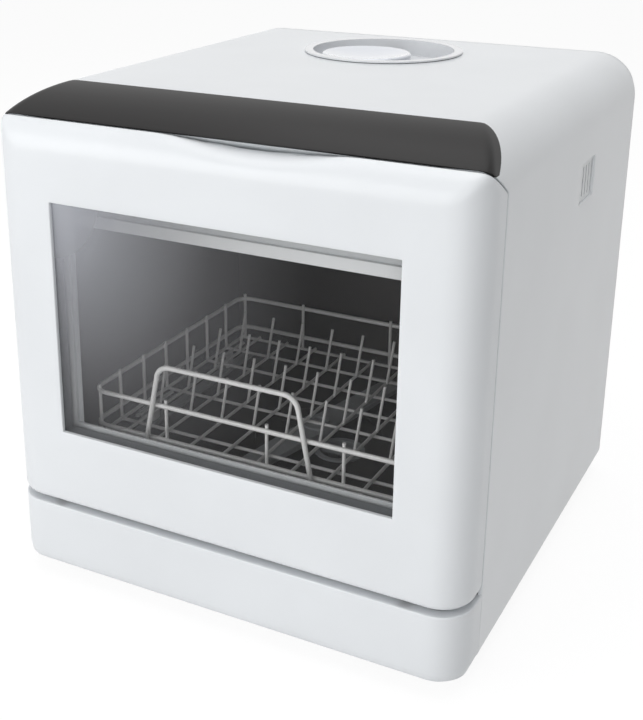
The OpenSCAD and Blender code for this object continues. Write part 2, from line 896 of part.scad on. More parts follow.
module arm_wing(a) {
    rotate([0, 0, a]) {
        hull() {
            post(0, 0, [0, arm_t], 14);
            post(arm_r - 12, 0, [1, arm_t - 0.5], 11, $fn = 32);
        }
    }
}

module spray_arm() {
    color("#cfd3d7") in_place() translate([0, tub_mid_d, arm_z]) rotate([0, 0, arm_turn]) difference() {
        union() {
            for (a = [0, 180]) arm_wing(a);
            post(0, 0, [0, arm_t + 2], 16);
        }
        post(0, 0, [-1, arm_t + 4], arm_pin_r + run_gap);
        post(0, 0, [-1, 1.5], hub_r + 1);
        for (s = [-1, 1], i = [1 : 5]) post(s * (22 + i * 17), 3 * s, [arm_t - 2, arm_t + 1], 1.2);
    }
}

module spray_nut() {
    color(grey) in_place()
        tube(0, tub_mid_d, [arm_z + arm_t + 2 + slack, arm_z + arm_t + 5], 10, arm_pin_r);
}

heater_ring = 46;
heater_r = 3.5;

module heater() {
    z = tub_floor - sump_h + 9;
    r = heater_r;
    color(steel) in_place() translate([0, tub_mid_d, 0]) {
        translate([0, 0, z]) rotate([0, 0, -90 + 12])
            rotate_extrude(angle = 336) translate([heater_ring, 0]) circle(r = r);
        for (s = [-1, 1]) {
            post(s * 9, -heater_ring, [tub_floor - sump_h - 6, z], r);
            translate([s * 9, -heater_ring, z]) sphere(r = r);
        }
    }
}

// Pumps, tank and hoses

pump_z = port_z;
feed_z = 84;
wash_run_z = 28;
pump_x0 = sump_r + 28;
pump_x1 = pump_x0 + 22;
volute_r = 26;
motor_r = 24;
motor_x1 = pump_x1 + 58;
drain_pump_x0 = -sump_r - 22;
drain_pump_x1 = drain_pump_x0 - 62;
drain_pump_r = 20;

module wash_pump() {
    color(dark) in_place() difference() {
        union() {
            bar_x([pump_x0, pump_x1], tub_mid_d, pump_z, volute_r);
            bar_y([tub_mid_d - 42, tub_mid_d], pump_x0 + 11, pump_z - volute_r + 9, 9);
        }
        bar_x([pump_x0 + 3, pump_x1 - 3], tub_mid_d, pump_z, volute_r - 3);
        bar_x([pump_x0 - 1, pump_x0 + 4], tub_mid_d, pump_z, 10);
        bar_x([pump_x1 - 4, pump_x1 + 1], tub_mid_d, pump_z, 3.6);
    }
}

module wash_impeller() {
    color(white) in_place() {
        bar_x([pump_x0 + 5, pump_x0 + 7], tub_mid_d, pump_z, 18);
        bar_x([pump_x0 + 5, pump_x1 + 8], tub_mid_d, pump_z, 3.5);
        for (a = [0 : 60 : 300]) translate([0, tub_mid_d, pump_z]) rotate([a, 0, 0])
            slab([pump_x0 + 6.5, pump_x0 + 15], [3, 17.5], [-1, 1]);
    }
}

module pump_motor() {
    color(steel) in_place() difference() {
        union() {
            bar_x([pump_x1, motor_x1 - 8], tub_mid_d, pump_z, motor_r);
            bar_x([motor_x1 - 8, motor_x1], tub_mid_d, pump_z, motor_r - 6);
        }
        bar_x([pump_x1 - 1, pump_x1 + 9], tub_mid_d, pump_z, 3.5 + run_gap);
    }
}

module drain_pump() {
    color(dark) in_place() {
        bar_x([drain_pump_x0 - 20, drain_pump_x0], tub_mid_d, pump_z, drain_pump_r);
        bar_x([drain_pump_x1, drain_pump_x0 - 20], tub_mid_d, pump_z, drain_pump_r - 2);
        bar_y([tub_mid_d, tub_mid_d + 30], drain_pump_x0 - 10, pump_z, 8);
    }
}

module water_tank() {
    color([0.9, 0.93, 0.95, 0.6]) in_place() difference() {
        union() {
            slab([-tank_x, tank_x], [tank_front_d, tank_back_d], [tank_low, tank_high]);
            post(cap_x, neck_d, [tank_high - 1, tank_high + 10], 15);
            post(100, neck_d, [tank_low - 10, tank_low + 1], 9);
        }
        slab([-tank_x + tank_t, tank_x - tank_t], [tank_front_d + tank_t, tank_back_d - tank_t],
            [tank_low + tank_t, tank_high - tank_t]);
        post(cap_x, neck_d, [tank_high - 5, tank_high + 12], 10);
        post(air_x, tank_back_d - 12, [tank_high - 5, tank_high + 1], 5);
        post(100, neck_d, [tank_low - 12, tank_low + 5], 7);
        bar_y([tank_back_d - 5, tank_back_d + 1], inlet_x, tank_low + 30, 6);
    }
}

mouth_bottom = dish_floor - 18;
fill_run_z = (mouth_bottom + tank_high + 10) / 2;

module fill_dish() {
    color(white) in_place() difference() {
        union() {
            tube(dish_x, dish_d, [body_h + gasket_t, body_h + dish_rim_h], dish_r, dish_r - 8);
            tube(dish_x, dish_d, [dish_floor - dish_wall, body_h + dish_rim_h - 0.4],
                dish_r - 6, dish_r - 8);
            post(dish_x, dish_d, [dish_floor - dish_wall, dish_floor], dish_r - 6);
            post(cap_x, cap_d, [mouth_bottom, dish_floor + 5], mouth_r + 2);
            post(air_x, air_d, [dish_floor - air_len, dish_floor], air_r + 1.5);
        }
        post(cap_x, cap_d, [mouth_bottom + 2, dish_floor + 6], mouth_r);
        post(cap_x, cap_d, [mouth_bottom - 1, mouth_bottom + 3], 12);
        post(air_x, air_d, [dish_floor - air_len - 1, dish_floor + 1], air_r);
    }
}

module dish_gasket() {
    color(dark) in_place() tube(dish_x, dish_d, [body_h, body_h + gasket_t], dish_r - 1, dish_r - 5.8);
}

module fill_strainer() {
    z1 = dish_floor + 3;
    color(steel) in_place() translate([cap_x, cap_d, 0]) difference() {
        post(0, 0, [mouth_bottom + 2, z1], mouth_r);
        post(0, 0, [mouth_bottom + 3.2, z1 + 1], mouth_r - 1.5);
        for (i = [-3 : 3], j = [-3 : 3]) if (i * i + j * j < 10)
            post(i * 6.5, j * 6.5, [mouth_bottom, mouth_bottom + 5], 1.8);
    }
}

module fill_cap() {
    z0 = dish_floor + 5 + slack;
    z1 = body_h + 1;
    color(white) in_place() translate([cap_x, cap_d, 0]) difference() {
        union() {
            post(0, 0, [z0, z1], cap_r);
            post(0, 0, [dish_floor + 3 + slack, z0 + 1], mouth_r - slack);
        }
        translate([0, 0, z1 + cap_r * 1.6 - 6]) sphere(r = cap_r * 1.6);
    }
}

module fill_hose() {
    color(grey) in_place() hose([
        [cap_x, cap_d, mouth_bottom], [cap_x, cap_d, fill_run_z],
        [cap_x, neck_d, fill_run_z], [cap_x, neck_d, tank_high + 10]
    ], 9, 10);
}

// The feed hose under the tank and the supply hose behind it
module tank_hoses() {
    color(grey) in_place() hose([
        [100, neck_d, tank_low - 10], [100, neck_d, feed_z], [60, neck_d - 40, feed_z],
        [30, tub_mid_d + sump_r + 30, feed_z], [30, tub_mid_d + sump_r + 10, feed_z]
    ], 6, 8);
    color(grey) in_place() hose([
        [inlet_x, port_face_d - 23, port_z + 16], [inlet_x, port_face_d - 23, port_z + 24],
        [inlet_x, tank_back_d - 40, tank_low - 14], [inlet_x, tank_back_d - 40, tank_low]
    ], 5, 8);
}

module wash_hose() {
    outlet_z = pump_z - volute_r + 9;
    color(dark) in_place() hose([
        [pump_x0 + 11, tub_mid_d - 42, outlet_z], [pump_x0 + 11, tub_mid_d - 66, outlet_z],
        [0, tub_mid_d - 66, wash_run_z], [0, tub_mid_d, wash_run_z],
        [0, tub_mid_d, tub_floor - sump_h - 10]
    ], 7, 8);
}

module drain_hose() {
    color(dark) in_place() hose([
        [drain_pump_x0 - 10, tub_mid_d + 30, pump_z], [drain_pump_x0 - 10, tub_mid_d + 60, pump_z],
        [drain_x, tub_mid_d + 90, port_z], [drain_x, port_face_d - 14, port_z]
    ], 7.5, 20);
}

// A groove sets the free length of each port off from the wall it comes through
module port_groove(x, r, deep) {
    d = [port_face_d, port_face_d + groove_w];
    difference() {
        bar_y(d, x, port_z, r + 1);
        bar_y([d[0] - 1, d[1] + 1], x, port_z, r - deep);
    }
}

module inlet_valve() {
    color(white) in_place() difference() {
        union() {
            bar_y([port_face_d - 12, port_face_d + port_len], inlet_x, port_z, inlet_r);
            slab([inlet_x - 16, inlet_x + 16], [port_face_d - 34, port_face_d - 12],
                [port_z - 16, port_z + 16]);
        }
        bar_y([port_face_d - 8, port_face_d + port_len + 1], inlet_x, port_z, 9);
        port_groove(inlet_x, inlet_r, 1.2);
    }
}

module drain_port() {
    color(dark) in_place() difference() {
        union() {
            bar_y([port_face_d - 14, port_face_d + port_len], drain_x, port_z, spigot_r);
            bar_y([port_face_d - 5, port_face_d - 2.5], drain_x, port_z, spigot_r + 5);
        }
        bar_y([port_face_d - 10, port_face_d + port_len + 1], drain_x, port_z, spigot_r - 2);
        port_groove(drain_x, spigot_r, 0.8);
    }
}

gland_r = 9;

module power_gland() {
    color(dark) in_place() difference() {
        union() {
            bar_y([port_face_d - 12, port_face_d + 5], gland_x, port_z, gland_r);
            bar_y([port_face_d, port_face_d + 3], gland_x, port_z, gland_r + 4);
            bar_y([port_face_d - 6, port_face_d - 2.5], gland_x, port_z, gland_r + 4);
        }
        bar_y([port_face_d - 13, port_face_d + 6], gland_x, port_z, 3.6);
    }
}

// Electronics, drying fan and side grille

board_t = 1.6;
board_z = body_h - 18;
board_post_x = [-100, 100];
board_post_d = [64, 86];

module control_board() {
    color("#2f6b46") in_place() {
        slab([-110, 110], [54, 92], [board_z, board_z + board_t]);
        for (x = [-75 : 30 : 75]) slab([x - 5, x + 5], [60, 70], [board_z + board_t, board_z + 5]);
        slab([-30, 30], [60, 84], [board_z - 7, board_z]);
    }
}

vent_d = [246, 291];
vent_z = [body_h - 101, body_h - 65];
vent_mid_d = (vent_d[0] + vent_d[1]) / 2;
vent_mid_z = (vent_z[0] + vent_z[1]) / 2;
fan_x0 = tub_x + tub_t + 12;
fan_x1 = half_w - wall - 5;
fan_r = 31;
duct_r = 9;
duct_z = tub_top - 16;

module fan_housing() {
    color(dark) in_place() difference() {
        union() {
            bar_x([fan_x0, fan_x1], vent_mid_d, vent_mid_z, fan_r);
            slab([tub_x + tub_t, fan_x0 + 6], [vent_mid_d - 12, vent_mid_d + 12],
                [duct_z - 12, vent_mid_z - fan_r + 12]);
        }
        bar_x([fan_x0 + 2, fan_x1 + 1], vent_mid_d, vent_mid_z, fan_r - 2.5);
        bar_x([tub_x, fan_x0 + 4], vent_mid_d, duct_z, duct_r);
        slab([fan_x0 - 3, fan_x0 + 4], [vent_mid_d - 8, vent_mid_d + 8],
            [duct_z, vent_mid_z - fan_r + 20]);
        bar_x([fan_x0 - 1, fan_x0 + 3], vent_mid_d, vent_mid_z, 2 + run_gap);
    }
}

module fan_wheel() {
    x0 = fan_x0 + 5;
    x1 = fan_x1 - 3;
    color(grey) in_place() {
        bar_x([fan_x0 - 1.5, x1], vent_mid_d, vent_mid_z, 2);
        bar_x([x0, x0 + 2], vent_mid_d, vent_mid_z, fan_r - 6);
        bar_x([x0, x1], vent_mid_d, vent_mid_z, 7);
        for (a = [0 : 30 : 330]) translate([0, vent_mid_d, vent_mid_z]) rotate([a, 0, 0])
            slab([x0 + 1, x1], [fan_r - 14, fan_r - 6], [-0.8, 0.8]);
    }
}

module side_vent() {
    lap = 4;
    slots = 5;
    pitch = (vent_d[1] - vent_d[0]) / slots;
    color(white) in_place() difference() {
        union() {
            slab([half_w - wall - 2, half_w - 1.6], [vent_d[0] + 0.2, vent_d[1] - 0.2],
                [vent_z[0] + 0.2, vent_z[1] - 0.2]);
            slab([half_w - wall - 2, half_w - wall], [vent_d[0] - lap, vent_d[1] + lap],
                [vent_z[0] - lap, vent_z[1] + lap]);
        }
        for (i = [0 : slots - 1])
            slab([half_w - wall - 3, half_w], [vent_d[0] + i * pitch + 3, vent_d[0] + (i + 1) * pitch - 3],
                [vent_z[0] + 5, vent_z[1] - 5]);
    }
}

// Rack

upright_x = [-150, -81, 17, 87, 150];
tine_rows = [118, 168, 218, 268];
tine_x = [-132 : 33 : 132];
side_uprights = 6;
weld_gap = 0.02;

module rack_loop(z, r) {
    x = rack_x - r;
    d0 = rack_front_d;
    d1 = rack_back_d;
    c = 14;
    rod([-x + c, d0, z], [x - c, d0, z], r);
    rod([-x + c, d1, z], [x - c, d1, z], r);
    for (s = [-1, 1]) {
        rod([s * x, d0 + c, z], [s * x, d1 - c, z], r);
        translate([s * (x - c), d0 + c, z]) rotate([0, 0, s > 0 ? -90 : 180])
            rotate_extrude(angle = 90) translate([c, 0]) circle(r = r);
        translate([s * (x - c), d1 - c, z]) rotate([0, 0, s > 0 ? 0 : 90])
            rotate_extrude(angle = 90) translate([c, 0]) circle(r = r);
    }
}

side_wire_r = wire_r + 0.2;
upright_z = [grid_z + side_wire_r + weld_gap, rail_hi_z + 5];
weld_in = wire_r * 1.7;
cage_x = rack_x - rail_r - weld_in;
cage_d = [rack_front_d + weld_in, rack_back_d - weld_in];
cross_wires = [for (i = [1 : side_uprights]) rack_front_d + i * rack_len / (side_uprights + 1)];

module dish_rack() {
    color("#d5d8da") in_place() {
        rack_loop(rail_hi_z, rail_r);
        rack_loop(rail_lo_z, rail_r);
        for (x = upright_x, d = cage_d) post(x, d, upright_z, wire_r);
        for (x = [-cage_x, cage_x], d = cross_wires) post(x, d, upright_z, wire_r);
    }
}

// The bottom of the rack: a ladder of wires with the four wheel hangers and their axles
module rack_grid() {
    end_in = 0.4;
    hang_x = wheel_x - 3.5;
    rim_x = wheel_x + wheel_w;
    color("#d5d8da") in_place() {
        for (d = concat(cage_d, cross_wires))
            bar_x([-cage_x + end_in, cage_x - end_in], d, grid_z, wire_r);
        for (x = [-cage_x, cage_x])
            bar_y(cage_d + [-side_wire_r, side_wire_r], x, grid_z, side_wire_r);
        for (s = [-1, 1], d = [wheel_front_d, wheel_rear_d]) {
            x = s * hang_x;
            slab([x - 1.5, x + 1.5], [d - 5, d + 5], [wheel_z - 4, grid_z]);
            slab([x - 1.5, x + 1.5], [d - 30, d + 30], [grid_z - 1, grid_z + 1]);
            bar_x(s > 0 ? [hang_x, rim_x + 2] : [-rim_x - 2, -hang_x], d, wheel_z, axle_r);
            bar_x(s > 0 ? [rim_x + 0.4, rim_x + 2] : [-rim_x - 2, -rim_x - 0.4], d, wheel_z,
                axle_r + 1.2);
        }
    }
}

// Nine long wires that lie on the ladder, each with its row of tines
module rack_tines() {
    z = grid_z + 2 * wire_r + weld_gap;
    color("#d5d8da") in_place() for (x = tine_x) {
        bar_y(cage_d, x, z, wire_r);
        for (d = tine_rows) rod([x + 1, d, z], [x + 5, d + 6, grid_z + 46], wire_r * 0.9);
    }
}

handle_r = 2.2;
handle_bend = 13;
handle_lean = 15;

// The handle is a bent bow whose feet are welded behind the two front rails
module rack_handle() {
    top = tub_floor + handle_h;
    foot = rail_lo_z - 4;
    d = rack_front_d - rail_r - handle_r;
    lean = atan2(handle_lean, top - foot);
    turn = 90 - lean;
    half_top = handle_w / 2 - handle_lean;
    reach = handle_bend * tan(turn / 2);
    into = reach - 1;
    color("#dfe1e3") in_place() translate([handle_x, d, 0]) {
        rod([-half_top + into, 0, top], [half_top - into, 0, top], handle_r);
        for (s = [-1, 1]) {
            rod([s * (half_top + into * sin(lean)), 0, top - into * cos(lean)],
                [s * handle_w / 2, 0, foot], handle_r);
            translate([s * (half_top - reach), 0, top - handle_bend]) rotate([90, 0, 0])
                rotate([0, 0, s > 0 ? 90 - turn : 90])
                rotate_extrude(angle = turn) translate([handle_bend, 0])
                circle(r = handle_r + 0.15);
        }
    }
}

module wheel(side, d) {
    x = side > 0 ? [wheel_x, wheel_x + wheel_w] : [-wheel_x - wheel_w, -wheel_x];
    color(grey) in_place() difference() {
        bar_x(x, d, wheel_z, wheel_r);
        bar_x([x[0] - 1, x[1] + 1], d, wheel_z, axle_r + run_gap);
        for (a = [0 : 60 : 300]) translate([0, d, wheel_z]) rotate([a, 0, 0])
            translate([0, 5.6, 0]) bar_x([side > 0 ? x[1] - 2 : x[0] - 1, side > 0 ? x[1] + 1 : x[0] + 2], 0, 0, 1.4);
    }
}

module wheel_front_left() {
    wheel(-1, wheel_front_d);
}

module wheel_front_right() {
    wheel(1, wheel_front_d);
}

module wheel_rear_left() {
    wheel(-1, wheel_rear_d);
}

module wheel_rear_right() {
    wheel(1, wheel_rear_d);
}

casing();
control_strip();
front_apron();
base_tray();
rear_cover();
rear_screws();
feet();
front_frame();
hinge_brackets();
tub();
rack_rails();
door_seal();
mouth_trim();
sump();
filter_plate();
filter_cup();
spray_hub();
spray_arm();
spray_nut();
heater();
wash_pump();
wash_impeller();
pump_motor();
drain_pump();
water_tank();
fill_dish();
dish_gasket();
fill_strainer();
fill_cap();
fill_hose();
tank_hoses();
wash_hose();
drain_hose();
inlet_valve();
drain_port();
power_gland();
control_board();
fan_housing();
fan_wheel();
side_vent();
latch_housing();
latch_jaw();
door_switch();
door_panel();
door_liner();
door_glass();
inner_glass();
window_seal();
hinge_shoes();
hinge_pins();
latch_tongue();
door_lip_seal();
dish_rack();
rack_grid();
rack_tines();
rack_handle();
wheel_front_left();
wheel_front_right();
wheel_rear_left();
wheel_rear_right();
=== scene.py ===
import math

import bmesh
import bpy
import numpy as np
from mathutils import Matrix, Vector


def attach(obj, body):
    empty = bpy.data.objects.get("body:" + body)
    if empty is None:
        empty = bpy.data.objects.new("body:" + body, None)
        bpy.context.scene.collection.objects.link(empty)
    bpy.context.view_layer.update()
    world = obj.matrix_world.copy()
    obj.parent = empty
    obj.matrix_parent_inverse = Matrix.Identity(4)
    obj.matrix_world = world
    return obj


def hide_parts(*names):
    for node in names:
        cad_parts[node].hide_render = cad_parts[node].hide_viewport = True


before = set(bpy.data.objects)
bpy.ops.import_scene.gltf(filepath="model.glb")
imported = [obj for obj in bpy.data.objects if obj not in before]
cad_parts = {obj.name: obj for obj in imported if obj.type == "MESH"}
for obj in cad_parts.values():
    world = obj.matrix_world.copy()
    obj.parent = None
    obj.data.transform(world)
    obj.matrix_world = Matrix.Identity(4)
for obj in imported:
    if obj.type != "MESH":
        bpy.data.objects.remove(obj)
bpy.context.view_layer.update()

# Lengths are in millimetres until a mesh is made. d is the depth from the front face.
HALF_W, DEPTH, TOP = 210.0, 435.0, 435.0
SHOULDER_R, CORNER_R = 40.0, 29.0
NOSE_R, NOSE_TURN, BROW_D = 28.0, math.radians(62), 95.0
BROW_R = (BROW_D - NOSE_R * (1 - math.cos(NOSE_TURN))) / math.cos(NOSE_TURN)
NOSE_Z = TOP - BROW_R + (BROW_R - NOSE_R) * math.sin(NOSE_TURN)
JOINT_D = NOSE_R * (1 - math.cos(NOSE_TURN))
JOINT_Z = NOSE_Z + NOSE_R * math.sin(NOSE_TURN)
SEAM_SLOPE = 0.7
DOOR_Z, APRON_TOP, FOOT_Z = 77.0, 74.0, 12.0
DOOR_T, FRAME_D, REAR_IN = 42.5, 44.5, 432.0
BASE_R = 12.0
# the form is kept BALL inside itself while points are fitted to it, and runs on to FAR behind the back
BALL, FAR = 9.0, 470.0


def seam_z(d):
    """Height of the seam between door and casing at depth d."""
    return JOINT_Z - SEAM_SLOPE * (d - JOINT_D)


# Outer form

def onto_round(u, v, half, v0, v1, r0, r1):
    """Nearest points of a rounded rectangle, |u| up to half and v from v0 to v1."""
    au = np.abs(u)
    pu = np.minimum(au, half)
    pv = np.clip(v, v0, v1)
    for mask, cv, r in (
        ((au > half - r1) & (v > v1 - r1), v1 - r1, r1),
        ((au > half - r0) & (v < v0 + r0), v0 + r0, r0),
    ):
        du, dv = au - (half - r), v - cv
        length = np.maximum(np.hypot(du, dv), 1e-9)
        f = np.minimum(r / length, 1.0)
        pu = np.where(mask, half - r + du * f, pu)
        pv = np.where(mask, cv + dv * f, pv)
    return np.sign(u) * pu, pv


def onto_side(d, z, low):
    """Nearest points of the side outline, with its round nose and its brow, drawn in by BALL."""
    pd = np.clip(d, BALL, FAR)
    pz = np.clip(z, low + BALL, TOP - BALL)
    nx, nz = NOSE_R - d, z - NOSE_Z
    nose = (nx > 0) & (nz > 0) & (np.arctan2(nz, nx) <= NOSE_TURN)
    bx, bz = BROW_D - d, z - (TOP - BROW_R)
    brow = ~nose & (bx > 0) & (np.arctan2(bz, bx) > NOSE_TURN)
    for mask, cd, cz, r in (
        (nose, NOSE_R, NOSE_Z, NOSE_R - BALL),
        (brow, BROW_D, TOP - BROW_R, BROW_R - BALL),
    ):
        dd, dz = d - cd, z - cz
        length = np.maximum(np.hypot(dd, dz), 1e-9)
        f = np.minimum(r / length, 1.0)
        pd = np.where(mask, cd + dd * f, pd)
        pz = np.where(mask, cz + dz * f, pz)
    return pd, pz


def nearest(P, low, low_r, rounds=24):
    """Nearest points of the form drawn in by one ball radius, by alternating projections."""
    x = P.copy()
    keep = [np.zeros_like(P) for _ in range(3)]
    for _ in range(rounds):
        for i in range(3):
            y = x + keep[i]
            n = y.copy()
            if i == 0:
                n[:, 0], n[:, 2] = onto_round(
                    y[:, 0], y[:, 2], HALF_W - BALL, low + BALL, TOP - BALL,
                    max(low_r - BALL, 0.01), SHOULDER_R - BALL)
            elif i == 1:
                n[:, 1], n[:, 2] = onto_side(y[:, 1], y[:, 2], low)
            else:
                n[:, 0], n[:, 1] = onto_round(
                    y[:, 0], y[:, 1], HALF_W - BALL, BALL, FAR, CORNER_R - BALL, 0.01)
            keep[i] = y - n
            x = n
    return x


def march(P, H, low=FOOT_Z, low_r=BASE_R, height=None, steps=7):
    """Moves points along their inward directions until they lie on the form.
    Where height is given, it is a function of x and d that each point's z follows."""
    P, H = np.asarray(P, float), np.asarray(H, float)
    t = np.zeros(len(P))

    def place(t):
        Q = P + t[:, None] * H
        if height is not None:
            Q[:, 2] = height(Q[:, 0], Q[:, 1])
        return Q

    for _ in range(steps):
        Q = place(t)
        C = nearest(Q, low, low_r)
        V = Q - C
        L = np.linalg.norm(V, axis=1)
        inside = L < 1e-6
        N = V / np.maximum(L, 1e-6)[:, None]
        D = (place(t + 0.01) - Q) / 0.01
        slope = np.minimum((N * D).sum(1), -0.08)
        step = np.clip(-(L - BALL) / slope, -12, 12)
        t = t + np.where(inside, -6.0, step)
    return place(t)


# Mesh helpers

def to_m(P):
    Q = np.array(P, float) * 0.001
    Q[:, 1] -= DEPTH / 2000.0
    return Q


def make(name, verts, faces, smooth=True):
    mesh = bpy.data.meshes.new(name)
    mesh.from_pydata([tuple(v) for v in verts], [], [tuple(f) for f in faces])
    mesh.validate()
    mesh.update()
    obj = bpy.data.objects.new(name, mesh)
    bpy.context.scene.collection.objects.link(obj)
    if smooth:
        mesh.polygons.foreach_set("use_smooth", [True] * len(mesh.polygons))
    return obj


def tidy_mesh(obj, weld=1e-5, outward=True):
    bm = bmesh.new()
    bm.from_mesh(obj.data)
    bmesh.ops.remove_doubles(bm, verts=bm.verts, dist=weld)
    bmesh.ops.dissolve_degenerate(bm, dist=1e-6, edges=bm.edges)
    loose = [v for v in bm.verts if not v.link_faces]
    bmesh.ops.delete(bm, geom=loose, context="VERTS")
    if outward:
        bmesh.ops.recalc_face_normals(bm, faces=bm.faces)
    bm.to_mesh(obj.data)
    bm.free()
    return obj


def grid_faces(rows, cols, skip=None, flip=False):
    faces = []
    for i in range(rows - 1):
        for j in range(cols - 1):
            if skip is not None and skip(i, j):
                continue
            f = (i * cols + j, i * cols + j + 1, (i + 1) * cols + j + 1, (i + 1) * cols + j)
            faces.append(f[::-1] if flip else f)
    return faces


def bend(A, C, B, n=5):
    """Rows that round a corner C between A and B, A and B left out."""
    out = []
    for k in range(1, n):
        t = k / n
        out.append((1 - t) ** 2 * A + 2 * t * (1 - t) * C + t * t * B)
    return out


def lathe(name, centre, profile, steps=96):
    """Turns a closed profile of (radius, z) about an upright axis at centre."""
    verts, faces = [], []
    n = len(profile)
    for k in range(steps):
        a = 2 * math.pi * k / steps
        for r, z in profile:
            verts.append((centre[0] + r * math.cos(a), centre[1] + r * math.sin(a), z))
    for k in range(steps):
        m = (k + 1) % steps
        for i in range(n - 1):
            faces.append((k * n + i, m * n + i, m * n + i + 1, k * n + i + 1))
    obj = make(name, to_m(verts), faces)
    return tidy_mesh(obj)


def rounded(points, radius, n=5):
    """Rounds the inner corners of an open profile."""
    out = [points[0]]
    for i in range(1, len(points) - 1):
        p = np.array(points[i], float)
        a, b = np.array(points[i - 1], float) - p, np.array(points[i + 1], float) - p
        la, lb = np.linalg.norm(a), np.linalg.norm(b)
        r = min(radius, la * 0.45, lb * 0.45)
        A, B = p + a / la * r, p + b / lb * r
        out.append(tuple(A))
        for q in bend(A, p, B, n):
            out.append(tuple(q))
        out.append(tuple(B))
    out.append(points[-1])
    return out


# Materials

def new_mat(name):
    m = bpy.data.materials.new(name)
    m.use_nodes = True
    nt = m.node_tree
    for n in list(nt.nodes):
        if n.type != "OUTPUT_MATERIAL":
            nt.nodes.remove(n)
    out = next(n for n in nt.nodes if n.type == "OUTPUT_MATERIAL")
    b = nt.nodes.new("ShaderNodeBsdfPrincipled")
    nt.links.new(b.outputs[0], out.inputs[0])
    return m, nt, b, out


def noise(nt, scale, detail=3.0, rough=0.5, stretch=None):
    tc = nt.nodes.new("ShaderNodeTexCoord")
    n = nt.nodes.new("ShaderNodeTexNoise")
    n.inputs["Scale"].default_value = scale
    n.inputs["Detail"].default_value = detail
    n.inputs["Roughness"].default_value = rough
    if stretch:
        mp = nt.nodes.new("ShaderNodeMapping")
        mp.inputs["Scale"].default_value = stretch
        nt.links.new(tc.outputs["Object"], mp.inputs["Vector"])
        nt.links.new(mp.outputs[0], n.inputs["Vector"])
    else:
        nt.links.new(tc.outputs["Object"], n.inputs["Vector"])
    return n


def ramp(nt, source, stops):
    r = nt.nodes.new("ShaderNodeValToRGB")
    r.color_ramp.elements[0].position = stops[0][0]
    r.color_ramp.elements[0].color = (*stops[0][1], 1)
    r.color_ramp.elements[1].position = stops[-1][0]
    r.color_ramp.elements[1].color = (*stops[-1][1], 1)
    for p, c in stops[1:-1]:
        e = r.color_ramp.elements.new(p)
        e.color = (*c, 1)
    nt.links.new(source, r.inputs[0])
    return r


def ranged(nt, source, lo, hi):
    m = nt.nodes.new("ShaderNodeMapRange")
    m.inputs["To Min"].default_value = lo
    m.inputs["To Max"].default_value = hi
    nt.links.new(source, m.inputs["Value"])
    return m.outputs[0]


def srgb(*colour):
    """A colour written from 0 to 255, as the shader's linear values."""
    out = []
    for c in colour:
        v = c / 255
        out.append(v / 12.92 if v <= 0.04045 else ((v + 0.055) / 1.055) ** 2.4)
    return tuple(out)


def finish_normal(nt, b, height, strength, distance, soft=0.0):
    """Fine relief, over edges that are softened where the mesh itself is sharp."""
    normal = None
    if soft:
        bv = nt.nodes.new("ShaderNodeBevel")
        bv.samples = 4
        bv.inputs["Radius"].default_value = soft
        normal = bv.outputs[0]
    if height is not None:
        bp = nt.nodes.new("ShaderNodeBump")
        bp.inputs["Strength"].default_value = strength
        bp.inputs["Distance"].default_value = distance
        nt.links.new(height, bp.inputs["Height"])
        if normal is not None:
            nt.links.new(normal, bp.inputs["Normal"])
        normal = bp.outputs[0]
    if normal is not None:
        nt.links.new(normal, b.inputs["Normal"])


def plastic(name, colour, rough=0.3, spread=0.06, coat=0.0, grain=900.0, relief=0.05,
            soft=0.0, tint=0.02, spec=0.5):
    """A moulded plastic: slow changes of tone, fine changes of gloss and a fine grain."""
    m, nt, b, _ = new_mat(name)
    c = srgb(*colour)
    big = noise(nt, 9.0, 2.0)
    low = tuple(v * (1 - tint) for v in c)
    high = tuple(min(v * (1 + tint), 1) for v in c)
    tone = ramp(nt, big.outputs["Fac"], [(0.3, low), (0.7, high)])
    nt.links.new(tone.outputs[0], b.inputs["Base Color"])
    fine = noise(nt, grain, 2.0)
    gloss = ranged(nt, fine.outputs["Fac"], max(rough - spread, 0.02), rough + spread)
    nt.links.new(gloss, b.inputs["Roughness"])
    b.inputs["Coat Weight"].default_value = coat
    b.inputs["Coat Roughness"].default_value = 0.06
    b.inputs["Specular IOR Level"].default_value = spec
    finish_normal(nt, b, fine.outputs["Fac"], relief, 0.0002, soft)
    return m


def steel(name, colour, rough=0.28, stretch=(1, 60, 60), soft=0.0):
    """A brushed steel, whose lines run along the axis that is stretched least."""
    m, nt, b, _ = new_mat(name)
    c = srgb(*colour)
    lines = noise(nt, 30.0, 4.0, 0.6, stretch)
    tone = ramp(nt, lines.outputs["Fac"], [(0.35, tuple(v * 0.86 for v in c)), (0.65, c)])
    nt.links.new(tone.outputs[0], b.inputs["Base Color"])
    b.inputs["Metallic"].default_value = 1.0
    nt.links.new(ranged(nt, lines.outputs["Fac"], rough - 0.08, rough + 0.1), b.inputs["Roughness"])
    finish_normal(nt, b, lines.outputs["Fac"], 0.08, 0.0002, soft)
    return m


def rubber(name, colour, rough=0.6, soft=0.0006):
    return plastic(name, colour, rough, 0.1, 0.0, 600.0, 0.25, soft, 0.06, 0.4)


# the painted reflection of the panes, a pale haze at their upper left: its corner in metres, how fast it
# fades, and the stops of colour and cover
PAINTED_REFLECTION_CORNER, PAINTED_REFLECTION_SCALE = (-0.155, 0.0, 0.358), (4.2, 0.0, 3.6)
SMOKE_AND_REFLECTION = [(0.0, (0.035, 0.034, 0.036)), (0.35, (0.30, 0.30, 0.32)), (1.0, (0.60, 0.62, 0.68))]
SMOKE_AND_REFLECTION_COVER = [(0.0, 0.05), (0.35, 0.09), (0.7, 0.3), (1.0, 0.62)]
CLEAR_AND_REFLECTION = [(0.0, (0.40, 0.41, 0.42)), (1.0, (0.60, 0.62, 0.64))]
CLEAR_AND_REFLECTION_COVER = [(0.0, 0.02), (1.0, 0.06)]


